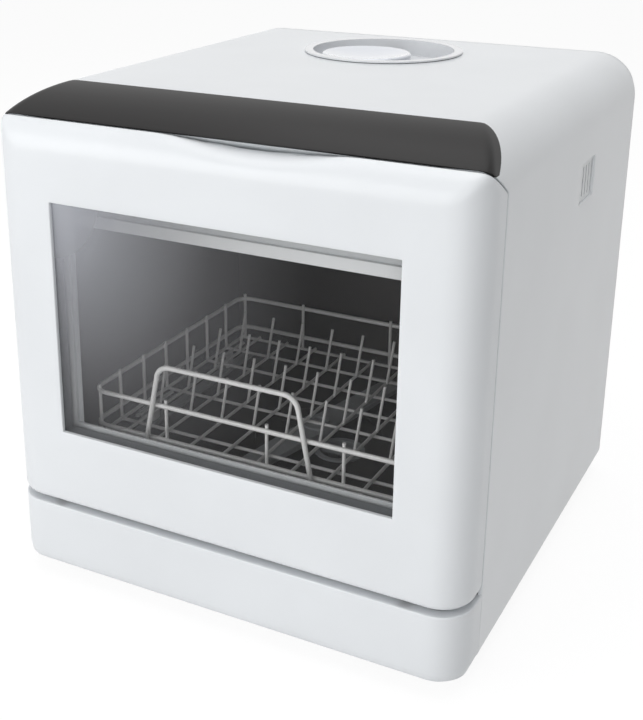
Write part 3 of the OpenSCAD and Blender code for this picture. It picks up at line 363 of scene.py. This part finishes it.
def pane(name, colours, cover, rough=0.02):
    """A see-through pane with a painted reflection: a pale haze, painted into its colour and cover, that
    spreads from its upper left corner.
    colours and cover are the stops of its colour and of how far it covers what is behind, painted reflection
    included."""
    m, nt, b, _ = new_mat(name)
    fine = noise(nt, 40.0, 2.0)
    nt.links.new(ranged(nt, fine.outputs["Fac"], rough, rough + 0.03), b.inputs["Roughness"])
    b.inputs["Specular IOR Level"].default_value = 0.6
    tc = nt.nodes.new("ShaderNodeTexCoord")
    place = nt.nodes.new("ShaderNodeMapping")
    place.inputs["Scale"].default_value = PAINTED_REFLECTION_SCALE
    place.inputs["Location"].default_value = [-c * k for c, k in zip(PAINTED_REFLECTION_CORNER, PAINTED_REFLECTION_SCALE)]
    # a spherical gradient from the upper left corner paints the pale reflection into the pane's colour and
    # cover
    painted_reflection = nt.nodes.new("ShaderNodeTexGradient")
    painted_reflection.gradient_type = "SPHERICAL"
    nt.links.new(tc.outputs["Object"], place.inputs["Vector"])
    nt.links.new(place.outputs[0], painted_reflection.inputs["Vector"])
    nt.links.new(ramp(nt, painted_reflection.outputs["Fac"], colours).outputs[0], b.inputs["Base Color"])
    grey = [(at, (v, v, v)) for at, v in cover]
    nt.links.new(ramp(nt, painted_reflection.outputs["Fac"], grey).outputs[0], b.inputs["Alpha"])
    return m


# plastic: name, colour, roughness and its spread, coat, grain, relief, softened edge, change of
# tone, specular level
MAT = {
    "body_white": plastic("body_white", (226, 229, 232), 0.3, 0.05, 0.15, 1400.0, 0.03),
    "door_white": plastic("door_white", (230, 233, 236), 0.38, 0.04, 0.05, 1400.0, 0.02),
    "strip_dark": plastic("strip_dark", (38, 37, 37), 0.34, 0.03, 0.0, 1600.0, 0.02, 0.0, 0.04, 0.12),
    "cover_white": plastic("cover_white", (224, 227, 229), 0.34, 0.05, 0.1, 1200.0, 0.05, 0.0007),
    "bowl_white": plastic("bowl_white", (226, 228, 231), 0.22, 0.04, 0.3, 1200.0, 0.02, 0.0012),
    "cap_gloss": plastic("cap_gloss", (224, 228, 236), 0.08, 0.02, 0.8, 1200.0, 0.01, 0.0, 0.02, 0.7),
    "liner_grey": plastic("liner_grey", (214, 217, 219), 0.34, 0.05, 0.0, 1100.0, 0.05, 0.0008),
    "inner_grey": plastic("inner_grey", (176, 179, 182), 0.42, 0.08, 0.0, 800.0, 0.12, 0.0007),
    "trim_pale": plastic("trim_pale", (247, 249, 250), 0.3, 0.05, 0.1, 1100.0, 0.04, 0.0008),
    "wire_grey": plastic("wire_grey", (249, 249, 248), 0.3, 0.06, 0.2, 700.0, 0.1, 0.0, 0.03),
    "wheel_grey": plastic("wheel_grey", (190, 192, 194), 0.4, 0.06, 0.0, 900.0, 0.08, 0.0005),
    "black_plastic": plastic("black_plastic", (44, 44, 46), 0.42, 0.08, 0.0, 900.0, 0.14, 0.0007, 0.06),
    "tank_milky": plastic("tank_milky", (222, 228, 232), 0.36, 0.06, 0.0, 500.0, 0.08, 0.0012),
    "board_green": plastic("board_green", (38, 92, 60), 0.45, 0.08, 0.0, 500.0, 0.2, 0.0004, 0.12),
    "motor_paint": plastic("motor_paint", (120, 122, 125), 0.38, 0.06, 0.0, 700.0, 0.12, 0.0007, 0.05),
    "seal_rubber": rubber("seal_rubber", (128, 131, 134)),
    "foot_rubber": rubber("foot_rubber", (40, 40, 42)),
    "hose_rubber": rubber("hose_rubber", (112, 114, 117), 0.5),
    # the tub's steel is much darker than real steel: painted shade for the dim inside of the tub; the filter
    # plate and the fill strainer share it
    "tub_steel": steel("tub_steel", (98, 95, 94), 0.34, (1, 60, 60), 0.0008),
    "part_steel": steel("part_steel", (186, 188, 190), 0.25, (50, 50, 1), 0.0004),
    # both panes carry a painted reflection, a pale haze at their upper left
    "smoke_pane": pane("smoke_pane", SMOKE_AND_REFLECTION, SMOKE_AND_REFLECTION_COVER),
    "clear_pane": pane("clear_pane", CLEAR_AND_REFLECTION, CLEAR_AND_REFLECTION_COVER),
}


def dress(obj, mat):
    obj.data.materials.clear()
    obj.data.materials.append(MAT[mat])


NODE_MATERIAL = {
    "base_tray": "inner_grey", "rear_cover": "cover_white", "rear_screws": "part_steel",
    "feet": "foot_rubber", "front_frame": "cover_white", "hinge_brackets": "part_steel",
    "tub": "tub_steel", "rack_rails": "inner_grey", "door_seal": "seal_rubber", "mouth_trim": "trim_pale",
    "sump": "inner_grey", "filter_plate": "tub_steel", "filter_cup": "inner_grey", "spray_hub": "inner_grey",
    "spray_arm": "inner_grey", "spray_nut": "inner_grey", "heater": "part_steel",
    "wash_pump": "black_plastic",
    "wash_impeller": "trim_pale", "pump_motor": "motor_paint", "drain_pump": "black_plastic",
    # the dish gasket is dark rubber, which also paints in the shadow line under the dish's raised rim
    "water_tank": "tank_milky", "dish_gasket": "foot_rubber", "fill_strainer": "tub_steel",
    "fill_hose": "hose_rubber", "tank_hoses": "hose_rubber", "wash_hose": "hose_rubber",
    "drain_hose": "hose_rubber", "inlet_valve": "trim_pale",
    "drain_port": "black_plastic", "power_gland": "black_plastic", "control_board": "board_green",
    "fan_housing": "black_plastic", "fan_wheel": "wheel_grey", "side_vent": "cover_white",
    "latch_housing": "inner_grey", "latch_jaw": "black_plastic", "door_switch": "black_plastic",
    "door_liner": "liner_grey", "door_glass": "smoke_pane", "inner_glass": "clear_pane",
    "window_seal": "seal_rubber", "hinge_shoes": "inner_grey", "hinge_pins": "part_steel",
    "latch_tongue": "part_steel", "door_lip_seal": "seal_rubber", "dish_rack": "wire_grey",
    "rack_grid": "wire_grey", "rack_tines": "wire_grey", "rack_handle": "wire_grey",
    "fill_dish": "bowl_white", "wheel_front_left": "wheel_grey", "wheel_front_right": "wheel_grey",
    "wheel_rear_left": "wheel_grey", "wheel_rear_right": "wheel_grey",
}
for node, mat in NODE_MATERIAL.items():
    dress(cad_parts[node], mat)


# Door skin

SCOOP_X, SCOOP_W, SCOOP_DIP, SCOOP_RISE = 28.0, 200.0, 12.0, math.radians(21)
SCOOP_R = (SCOOP_W ** 2 / 4 + SCOOP_DIP ** 2) / (2 * SCOOP_DIP)


def scoop_z(x, d):
    """Height of the finger scoop's floor, which rises inwards."""
    rise = (d - 2) * math.tan(SCOOP_RISE)
    return JOINT_Z - SCOOP_DIP + rise + (x - SCOOP_X) ** 2 / (2 * SCOOP_R) / math.cos(SCOOP_RISE)


def door_top(x, d):
    """Height of the door's top face: the seam and the scoop, blended where they meet."""
    a, b = seam_z(d) - 1.0, scoop_z(x, d)
    k = 2.0
    h = np.clip(0.5 + 0.5 * (b - a) / k, 0, 1)
    return b + (a - b) * h - k * h * (1 - h)


def plan_columns(side_ds, corner_n, xs):
    """Columns around the front: left side, left corner, front, right corner, right side.
    Each is a point in plan with its inward direction."""
    centre = HALF_W - CORNER_R
    left = [((-HALF_W, d), (1.0, 0.0)) for d in side_ds]
    for k in range(1, corner_n):
        a = math.pi / 2 * k / corner_n
        point = (-centre - CORNER_R * math.cos(a), CORNER_R - CORNER_R * math.sin(a))
        left.append((point, (math.cos(a), math.sin(a))))
    front = [((x, 0.0), (0.0, 1.0)) for x in xs]
    right = [((-x, d), (-hx, hd)) for (x, d), (hx, hd) in reversed(left)]
    columns = left + front + right
    return np.array([p for p, _ in columns]), np.array([h for _, h in columns])


def side_rolls(rows, depth, roll, thick, back):
    """Adds columns that round each row's two ends over a rear edge at the given depth,
    and run on inside."""
    out = []
    for R in rows:
        ends = []
        for s, i in ((1, 0), (-1, -1)):
            C = R[i].copy()
            C[1] = depth
            A = R[i]
            B = C + (s * roll, 0, 0)
            E = C + (s * thick, 0, 0)
            G = E + (0, -back, 0)
            ends.append([G, E, B] + bend(B, C, A, 4))
        out.append(np.vstack([np.array(ends[0]), R, np.array(ends[1])[::-1]]))
    return out


def ring_of(cols, i0, i1, j0, j1):
    """Vertex numbers round an opening from row i0 to i1 and column j0 to j1."""
    ring = [i0 * cols + j for j in range(j0, j1)] + [i * cols + j1 for i in range(i0, i1)]
    return ring + [i1 * cols + j for j in range(j1, j0, -1)] + [i * cols + j0 for i in range(i1, i0, -1)]


def add_rims(V, faces, ring, moved, stops):
    """Adds rings that lead in from an opening's edge. moved gives a vertex's place at a stop."""
    prev = ring
    for stop in stops:
        cur = []
        for r in ring:
            cur.append(len(V))
            V.append(moved(r, stop))
        for k in range(len(ring)):
            m = (k + 1) % len(ring)
            faces.append((prev[k], prev[m], cur[m], cur[k]))
        prev = cur


def drawn_in(v, ends, inset):
    """v, moved inwards by inset if it is at one of the two ends."""
    if abs(v - ends[0]) < 0.01:
        return v + inset
    if abs(v - ends[1]) < 0.01:
        return v - inset
    return v


WIN_X, WIN_Z = (-152.0, 152.0), (147.0, 351.0)
# the window's rim: how far it is drawn in, and its depth
WIN_RIM = ((0.25, 0.06), (0.6, 0.28), (0.85, 0.7), (0.9, 1.3), (0.9, 3.2))
# the slots that the hinge brackets pass through, and the rows from the underside that they cut
HINGE_SLOT, SLOT_ROWS = (157.5, 166.5), 7
LOWER_R, DOOR_BASE, DOOR_ROLL, TOP_ROLL, SCOOP_ROLL = 9.0, 366.0, 1.2, 1.3, 3.7


def build_door():
    front_x = HALF_W - CORNER_R
    xs = np.unique(np.round(np.concatenate([
        np.linspace(-front_x, WIN_X[0], 7), np.linspace(*WIN_X, 93), np.linspace(WIN_X[1], front_x, 7),
        [side * x for side in (-1, 1) for x in HINGE_SLOT]]), 4))
    P, H = plan_columns([DOOR_T - DOOR_ROLL, 38, 34, CORNER_R], 14, xs)
    n = len(P)
    H3 = np.column_stack([H, np.zeros(n)])
    rows = []
    # the underside, drawn in to the hinge line, then the round lower edge
    for run in (30.0, 18.0, 12.0):
        Q = np.column_stack([P + H * run, np.full(n, DOOR_Z)])
        Q[:, 1] = np.minimum(Q[:, 1], DOOR_T - 0.2)
        rows.append(Q)
    for k in range(9):
        a = math.pi / 2 * (1 - k / 8)
        z = DOOR_Z + LOWER_R - LOWER_R * math.sin(a)
        rows.append(np.column_stack([P + H * (LOWER_R - LOWER_R * math.cos(a)), np.full(n, z)]))
    # the front, with a row on the window's lower and upper edge
    zs = np.concatenate([
        np.linspace(DOOR_Z + LOWER_R, WIN_Z[0], 9)[1:], np.linspace(*WIN_Z, 29)[1:],
        np.linspace(WIN_Z[1], DOOR_BASE, 4)[1:]])
    i0, i1 = (len(rows) + int(np.argmin(np.abs(zs - z))) for z in WIN_Z)
    rows += [np.column_stack([P, np.full(n, z)]) for z in zs]
    P3 = np.column_stack([P, np.full(n, DOOR_BASE)])

    def at(w):
        """The columns carried on over the form, w of the way to the top edge."""
        return march(P3, H3, DOOR_Z, LOWER_R, lambda x, d: DOOR_BASE + (door_top(x, d) - DOOR_BASE) * w)

    # the top edge, rolled further where the finger scoop is deep
    C = at(np.ones(n))
    deep = np.clip((seam_z(C[:, 1]) - 1 - scoop_z(C[:, 0], C[:, 1])) / 6.0, 0, 1)
    roll = TOP_ROLL + SCOOP_ROLL * deep
    w_edge = 1 - roll * 0.75 / (C[:, 2] - DOOR_BASE)
    for k in range(1, 23):
        rows.append(at(w_edge * k / 22))
    A = rows[-1]
    B = C + H3 * roll[:, None]
    B[:, 2] = door_top(B[:, 0], B[:, 1])
    rows += bend(A, C, B, 6)
    rows.append(B)
    # the top face: columns of the sides and corners end where they reach the front's end columns
    past = np.abs(C[:, 0]) - front_x
    most = np.where(past > 0.001, past / np.maximum(np.abs(H[:, 0]), 1e-6), 100.0)
    for run in (3, 6, 10, 15, 21, 27, 34, 42):
        Q = C + H3 * np.minimum(roll + run, most)[:, None]
        Q[:, 1] = np.minimum(Q[:, 1], DOOR_T - 0.4)
        Q[:, 2] = door_top(Q[:, 0], Q[:, 1])
        rows.append(Q)
    rows = side_rolls(rows, DOOR_T, DOOR_ROLL, 3.0, 8.0)
    cols = len(rows[0])
    off = (cols - n) // 2
    not_front = 1000 * (P[:, 1] > 0.001)
    j0, j1 = (off + int(np.argmin(np.abs(P[:, 0] - x) + not_front)) for x in WIN_X)
    verts = np.vstack(rows)

    def skip(i, j):
        mid = abs(verts[i * cols + j][0] + verts[i * cols + j + 1][0]) / 2
        in_slot = i < SLOT_ROWS and off <= j < off + n - 1 and HINGE_SLOT[0] < mid < HINGE_SLOT[1]
        return in_slot or (i0 <= i < i1 and j0 <= j < j1)

    faces = grid_faces(len(rows), cols, skip)
    V = list(map(tuple, verts))

    def rim(r, stop):
        x, _, z = verts[r]
        return (drawn_in(x, WIN_X, stop[0]), stop[1], drawn_in(z, WIN_Z, stop[0]))

    add_rims(V, faces, ring_of(cols, i0, i1, j0, j1), rim, WIN_RIM)
    return tidy_mesh(make("door_skin", to_m(V), faces), 2e-6, False)


# Casing skin

VENT_D, VENT_Z = (246.0, 291.0), (334.0, 370.0)
# the recess of the grille: how far it is drawn in, and its place across
VENT_RIM = ((0.3, 209.9), (0.6, 209.6), (0.7, 208.8), (0.7, 206.8))
DISH_X, DISH_D, DISH_HOLE_R = -10.0, 338.0, 71.0
SEAM_NORMAL = np.array([0, SEAM_SLOPE, 1.0]) / np.linalg.norm([0, SEAM_SLOPE, 1.0])


def casing_columns():
    """Columns over the casing's section, from the lower left round to the lower right.
    Each is a point across and up with its inward direction."""
    pts, dirs = [], []

    def add(x, z, hx, hz):
        pts.append((x, z))
        dirs.append((hx, hz))

    for k in range(3, 9):
        a = math.pi / 2 * k / 8
        add(-HALF_W + BASE_R - BASE_R * math.sin(a), FOOT_Z + BASE_R - BASE_R * math.cos(a),
            math.sin(a), math.cos(a))
    zs = np.unique(np.round(np.concatenate([
        np.linspace(FOOT_Z + BASE_R, APRON_TOP, 4), np.linspace(APRON_TOP, VENT_Z[0], 18),
        np.linspace(*VENT_Z, 6), np.linspace(VENT_Z[1], TOP - SHOULDER_R, 8)]), 4))
    for z in zs[1:]:
        add(-HALF_W, z, 1, 0)
    for k in range(1, 20):
        a = math.pi / 2 * k / 20
        add(-HALF_W + SHOULDER_R - SHOULDER_R * math.cos(a), TOP - SHOULDER_R + SHOULDER_R * math.sin(a),
            math.cos(a), -math.sin(a))
    left = len(pts)
    top_x = HALF_W - SHOULDER_R
    xs = np.unique(np.round(np.concatenate([
        np.linspace(-top_x, -90, 13), np.linspace(-90, 70, 41), np.linspace(70, top_x, 16)]), 4))
    for x in xs:
        add(x, TOP, 0, -1)
    for k in range(left - 1, -1, -1):
        x, z = pts[k]
        hx, hz = dirs[k]
        add(-x, z, -hx, hz)
    return np.array(pts), np.array(dirs)


CP, CH = casing_columns()
CH3 = np.column_stack([CH[:, 0], np.zeros(len(CH)), CH[:, 1]])


def at_depth(d):
    return np.column_stack([CP[:, 0], np.broadcast_to(np.asarray(d, float), (len(CP),)), CP[:, 1]])


def on_casing(d):
    """Points of every casing column at depth d, a number or one number per column."""
    return march(at_depth(d), CH3)


def solve_depth(residual, lo, hi):
    """Per column depth at which residual, rising with depth, is zero."""
    a, b = np.full(len(CP), lo, float), np.full(len(CP), hi, float)
    for _ in range(17):
        m = (a + b) / 2
        g = residual(on_casing(m))
        a, b = np.where(g < 0, m, a), np.where(g < 0, b, m)
    return (a + b) / 2


def build_casing():
    lift, roll = 1.0, 1.2
    # the front edge: along the seam over the door, and at the front frame down the sides
    d_front = solve_depth(lambda Q: Q[:, 2] - (seam_z(Q[:, 1]) + lift), 6.0, FRAME_D)
    on_plane = (d_front < FRAME_D - 0.01)[:, None]
    E = CH3 - np.where(on_plane, (CH3 @ SEAM_NORMAL)[:, None] * SEAM_NORMAL[None, :], 0)
    E /= np.linalg.norm(E, axis=1)[:, None]
    C = on_casing(d_front)
    A = on_casing(d_front + roll)
    B = C + E * roll
    rows = [C + E * 3.2 + np.array([0, 16.0, -2.0]) * on_plane, C + E * 3.2, B]
    rows += bend(B, C, A, 5)
    rows.append(A)
    start = d_front + roll
    for k in range(1, 27):
        rows.append(on_casing(start + (100 - start) * (k / 26) ** 1.15))
    # straight back from there, with a row on each end of the grille's recess and none beside it
    fixed = [112, 128, 146, 164, 182, 200, 218, 233, VENT_D[0], 255, 260, VENT_D[1], 419, 424, 428]
    fixed = sorted((set(map(float, fixed)) | set(map(float, np.arange(264, 416, 4.0)))) - {288.0, 292.0})
    i0, i1 = (len(rows) + fixed.index(d) for d in VENT_D)
    rows += [at_depth(d) for d in fixed]
    # the rear edge, turned in
    for run in (0.4, 1.0, 2.6):
        rows.append(at_depth(min(REAR_IN - 0.6 + run * 0.6, REAR_IN)) + CH3 * (run - 0.4))
    cols = len(CP)
    verts = np.vstack(rows)
    z_of = {round(float(CP[j, 1]), 3): j for j in range(cols) if CP[j, 0] > HALF_W - 0.1}
    j0, j1 = sorted(z_of[z] for z in VENT_Z)

    def skip(i, j):
        if i0 <= i < i1 and j0 <= j < j1:
            return True
        x, d, z = (verts[i * cols + j] + verts[(i + 1) * cols + j + 1]) / 2
        return z > TOP - 1 and math.hypot(x - DISH_X, d - DISH_D) < DISH_HOLE_R

    faces = grid_faces(len(rows), cols, skip)
    V = list(map(tuple, verts))

    def rim(r, stop):
        _, d, z = verts[r]
        return (stop[1], drawn_in(d, VENT_D, stop[0]), drawn_in(z, VENT_Z, stop[0]))

    add_rims(V, faces, ring_of(cols, i0, i1, j0, j1), rim, VENT_RIM)
    return tidy_mesh(make("casing_skin", to_m(V), faces), 2e-6, False)


# Control strip

STRIP_TIP_D, STRIP_TIP_DROP, STRIP_BACK_D, STRIP_END_Z = 26.0, 26.4, 77.0, 396.0
STRIP_PROUD, STRIP_ROWS = 0.18, 22
STRIP_BACK_DROP = BROW_R - math.sqrt(BROW_R ** 2 - (BROW_D - STRIP_BACK_D) ** 2)
STRIP_SLOPE = (STRIP_TIP_DROP - STRIP_BACK_DROP) / (STRIP_BACK_D - STRIP_TIP_D)


def toward(C, other, reach):
    """Points that lie reach from C on the way to other."""
    way = other - C
    return C + way * (reach / np.maximum(np.linalg.norm(way, axis=1), 1e-6))[:, None]


def strip_rise(Q):
    """How far the strip's upper edge lies over points of the casing."""
    return TOP - STRIP_TIP_DROP + STRIP_SLOPE * (Q[:, 1] - STRIP_TIP_D) - Q[:, 2]


def build_strip():
    lo = solve_depth(lambda Q: Q[:, 2] - (seam_z(Q[:, 1]) + 0.7), 6.0, FRAME_D)
    hi = solve_depth(strip_rise, 10.0, 90.0)
    use = [j for j in range(len(CP)) if hi[j] > lo[j] + 0.3 and CP[j, 1] > STRIP_END_Z]
    a, b = use[0], use[-1] + 1
    lo, hi = lo[a:b], hi[a:b]
    E = CH3[a:b]
    D = E - (E @ SEAM_NORMAL)[:, None] * SEAM_NORMAL[None, :]
    D /= np.linalg.norm(D, axis=1)[:, None]
    surf = []
    for k in range(STRIP_ROWS + 1):
        full = np.interp(np.arange(len(CP)), np.arange(a, b), lo + (hi - lo) * (k / STRIP_ROWS))
        surf.append(on_casing(full)[a:b] - E * STRIP_PROUD)
    roll, back_roll = 0.5, 0.4
    C0, C1 = surf[0], surf[-1]
    A0, B0 = toward(C0, surf[1], roll), C0 + D * roll
    A1, B1 = toward(C1, surf[-2], back_roll), C1 + E * back_roll
    rows = [C0 + D * 2.6, B0] + bend(B0, C0, A0, 4) + [A0] + surf[1:-1]
    rows += [A1] + bend(A1, C1, B1, 4) + [B1, C1 + E * 1.2]
    faces = grid_faces(len(rows), b - a)
    return tidy_mesh(make("strip_skin", to_m(np.vstack(rows)), faces), 2e-6, False)


# Apron

APRON_ROLL, APRON_FLAT, APRON_REACH = 1.2, 50, 36.0


def build_apron():
    front_x = HALF_W - CORNER_R
    P, H = plan_columns([FRAME_D, 40, 36, 32, CORNER_R], 14, np.linspace(-front_x, front_x, 73))
    n = len(P)
    rows = [np.column_stack([P + H * run, np.full(n, APRON_TOP)]) for run in (10.0, 3.0)]
    A = np.column_stack([P + H * APRON_ROLL, np.full(n, APRON_TOP)])
    C = np.column_stack([P, np.full(n, APRON_TOP)])
    B = np.column_stack([P, np.full(n, APRON_TOP - APRON_ROLL)])
    rows += [A] + bend(A, C, B, 5) + [B]
    rows += [np.column_stack([P, np.full(n, float(z))]) for z in (68, 62, 56, APRON_FLAT)]
    # the lower edge: the form's own round edge, swept by a fan of directions that start outside it
    for k in range(1, 15):
        a = math.pi / 2 * k / 14
        out, up = math.cos(a), math.sin(a)
        start = np.column_stack([
            P + H * APRON_REACH * (1 - out), np.full(n, APRON_FLAT - (APRON_FLAT - FOOT_Z) * up)])
        lead = np.column_stack([-H * out * 10, np.full(n, up * 10)])
        rows.append(march(start - lead, np.column_stack([H * out, np.full(n, up)])))
    for run in (20.0, 40.0):
        Q = rows[-1].copy()
        Q[:, :2] += H * run
        rows.append(Q)
    for R in rows:
        R[:, 1] = np.minimum(R[:, 1], FRAME_D)
    faces = grid_faces(len(rows), n, None, True)
    return tidy_mesh(make("apron_skin", to_m(np.vstack(rows)), faces), 2e-6, False)


# Cap

CAP_AT, CAP_R, CAP_Z, CAP_DIP = (-19.0, 318.0), 42.0, (427.3, 436.0), 5.2


def build_cap():
    """A disc with a dished top, a rounded rim and a flat underside."""
    z0, z1 = CAP_Z
    flat = CAP_R - 3
    top = [(0, z1 - CAP_DIP)]
    for k in range(1, 13):
        q = k / 12 * flat
        top.append((q, z1 - CAP_DIP + CAP_DIP * (q / flat) ** 2))
    rim = [(CAP_R - 1.5, z1 + 0.1), (CAP_R - 0.2, z1 - 0.9), (CAP_R, z1 - 2.4), (CAP_R - 0.3, z0 + 0.8),
           (CAP_R - 1.2, z0), (0, z0)]
    return lathe("cap_disc", CAP_AT, rounded(top + rim, 0.8, 4))


for build, mat, body, node, slot in (
    (build_door, "door_white", "door", "door_panel", "white_gloss"),
    (build_casing, "body_white", "machine", "casing", "white_plastic"),
    (build_strip, "strip_dark", "machine", "control_strip", "dark_gloss"),
    (build_apron, "door_white", "machine", "front_apron", "white_plastic"),
    (build_cap, "cap_gloss", "fill_cap", "fill_cap", "cap_gloss"),
):
    piece = build()
    dress(piece, mat)
    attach(piece, body)
    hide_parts(node)


# Stage, lights, camera

def seen_rays(nt):
    """1 for rays that show the background: from the camera, off gloss and through glass."""
    lp = nt.nodes.new("ShaderNodeLightPath")
    value = lp.outputs["Is Camera Ray"]
    for kind in ("Is Glossy Ray", "Is Transmission Ray"):
        mx = nt.nodes.new("ShaderNodeMath")
        mx.operation = "MAXIMUM"
        nt.links.new(value, mx.inputs[0])
        nt.links.new(lp.outputs[kind], mx.inputs[1])
        value = mx.outputs[0]
    return value


FLOOR_SHADE, FLOOR_SHOWN, FLOOR_SHARE, FLOOR_HALF = 0.72, 1.11, 0.82, 15


def white_stage(name):
    """A paper that shows white, and keeps a soft shadow in the share that the lamps light."""
    m, nt, b, out = new_mat(name)
    b.inputs["Base Color"].default_value = (FLOOR_SHADE, FLOOR_SHADE, FLOOR_SHADE, 1)
    b.inputs["Roughness"].default_value = 0.7
    em = nt.nodes.new("ShaderNodeEmission")
    em.inputs["Color"].default_value = (1, 1, 1, 1)
    em.inputs["Strength"].default_value = FLOOR_SHOWN
    mix = nt.nodes.new("ShaderNodeMixShader")
    k = nt.nodes.new("ShaderNodeMath")
    k.operation = "MULTIPLY"
    k.inputs[1].default_value = FLOOR_SHARE
    nt.links.new(seen_rays(nt), k.inputs[0])
    nt.links.new(k.outputs[0], mix.inputs[0])
    nt.links.new(b.outputs[0], mix.inputs[1])
    nt.links.new(em.outputs[0], mix.inputs[2])
    nt.links.new(mix.outputs[0], out.inputs[0])
    return m


square = ((-1, -1), (1, -1), (1, 1), (-1, 1))
floor_corners = [(x * FLOOR_HALF, y * FLOOR_HALF, -0.0002) for x, y in square]
floor_mesh = make("floor", floor_corners, [(0, 1, 2, 3)], False)
floor_mesh.data.materials.append(white_stage("floor_paper"))

WORLD_LIGHT, WORLD_SHOWN = 0.24, 1.0
world = bpy.data.worlds.new("studio")
bpy.context.scene.world = world
world.use_nodes = True
wn = world.node_tree
bg = wn.nodes["Background"]
bg.inputs["Strength"].default_value = WORLD_LIGHT
bg.inputs["Color"].default_value = (1, 1, 1, 1)
cam_bg = wn.nodes.new("ShaderNodeBackground")
cam_bg.inputs["Strength"].default_value = WORLD_SHOWN
cam_bg.inputs["Color"].default_value = (1, 1, 1, 1)
wm = wn.nodes.new("ShaderNodeMixShader")
wn.links.new(seen_rays(wn), wm.inputs[0])
wn.links.new(bg.outputs[0], wm.inputs[1])
wn.links.new(cam_bg.outputs[0], wm.inputs[2])
wn.links.new(wm.outputs[0], wn.nodes["World Output"].inputs[0])


def area(name, at, to, size, power):
    light = bpy.data.lights.new(name, "AREA")
    light.energy = power
    light.size = size
    obj = bpy.data.objects.new(name, light)
    bpy.context.scene.collection.objects.link(obj)
    obj.location = at
    obj.rotation_euler = (Vector(to) - Vector(at)).to_track_quat("-Z", "Y").to_euler()


area("key_left", (-1.3, -2.3, 0.9), (0, 0, 0.22), 1.7, 30)
area("top_soft", (0.0, 0.1, 2.4), (0, 0, 0.2), 2.2, 30)
area("fill_front", (0.9, -2.4, 0.7), (0, 0, 0.22), 1.4, 12)

cam_data = bpy.data.cameras.new("camera")
cam = bpy.data.objects.new("camera", cam_data)
bpy.context.scene.collection.objects.link(cam)
bpy.context.scene.camera = cam
# place in millimetres, angles in radians, focal length in pixels and shifts in frames
CAM = dict(
    x=442.1, y=-732.5, z=613.6, yaw=0.4869, pitch=0.3356, roll=0.0024, f=1207.0, sx=-0.0622, sy=-0.12)
PHOTO_H, SENSOR = 720, 36.0


def aim(c):
    cy, sy, cp, sp = math.cos(c["yaw"]), math.sin(c["yaw"]), math.cos(c["pitch"]), math.sin(c["pitch"])
    fwd = Vector((-sy * cp, cy * cp, -sp))
    right = Vector((cy, sy, 0))
    up = right.cross(fwd)
    cr, sr = math.cos(c["roll"]), math.sin(c["roll"])
    right, up = cr * right + sr * up, -sr * right + cr * up
    m = Matrix((right, up, -fwd)).transposed().to_4x4()
    m.translation = Vector((c["x"], c["y"] - DEPTH / 2, c["z"])) * 0.001
    cam.matrix_world = m
    cam_data.sensor_fit = "AUTO"
    cam_data.sensor_width = SENSOR
    cam_data.lens = c["f"] / PHOTO_H * SENSOR
    cam_data.shift_x = -c["sx"]
    cam_data.shift_y = c["sy"]
    cam_data.clip_start = 0.02
    cam_data.clip_end = 50


aim(CAM)
bpy.context.scene.view_settings.view_transform = "Standard"

bpy.context.view_layer.update()
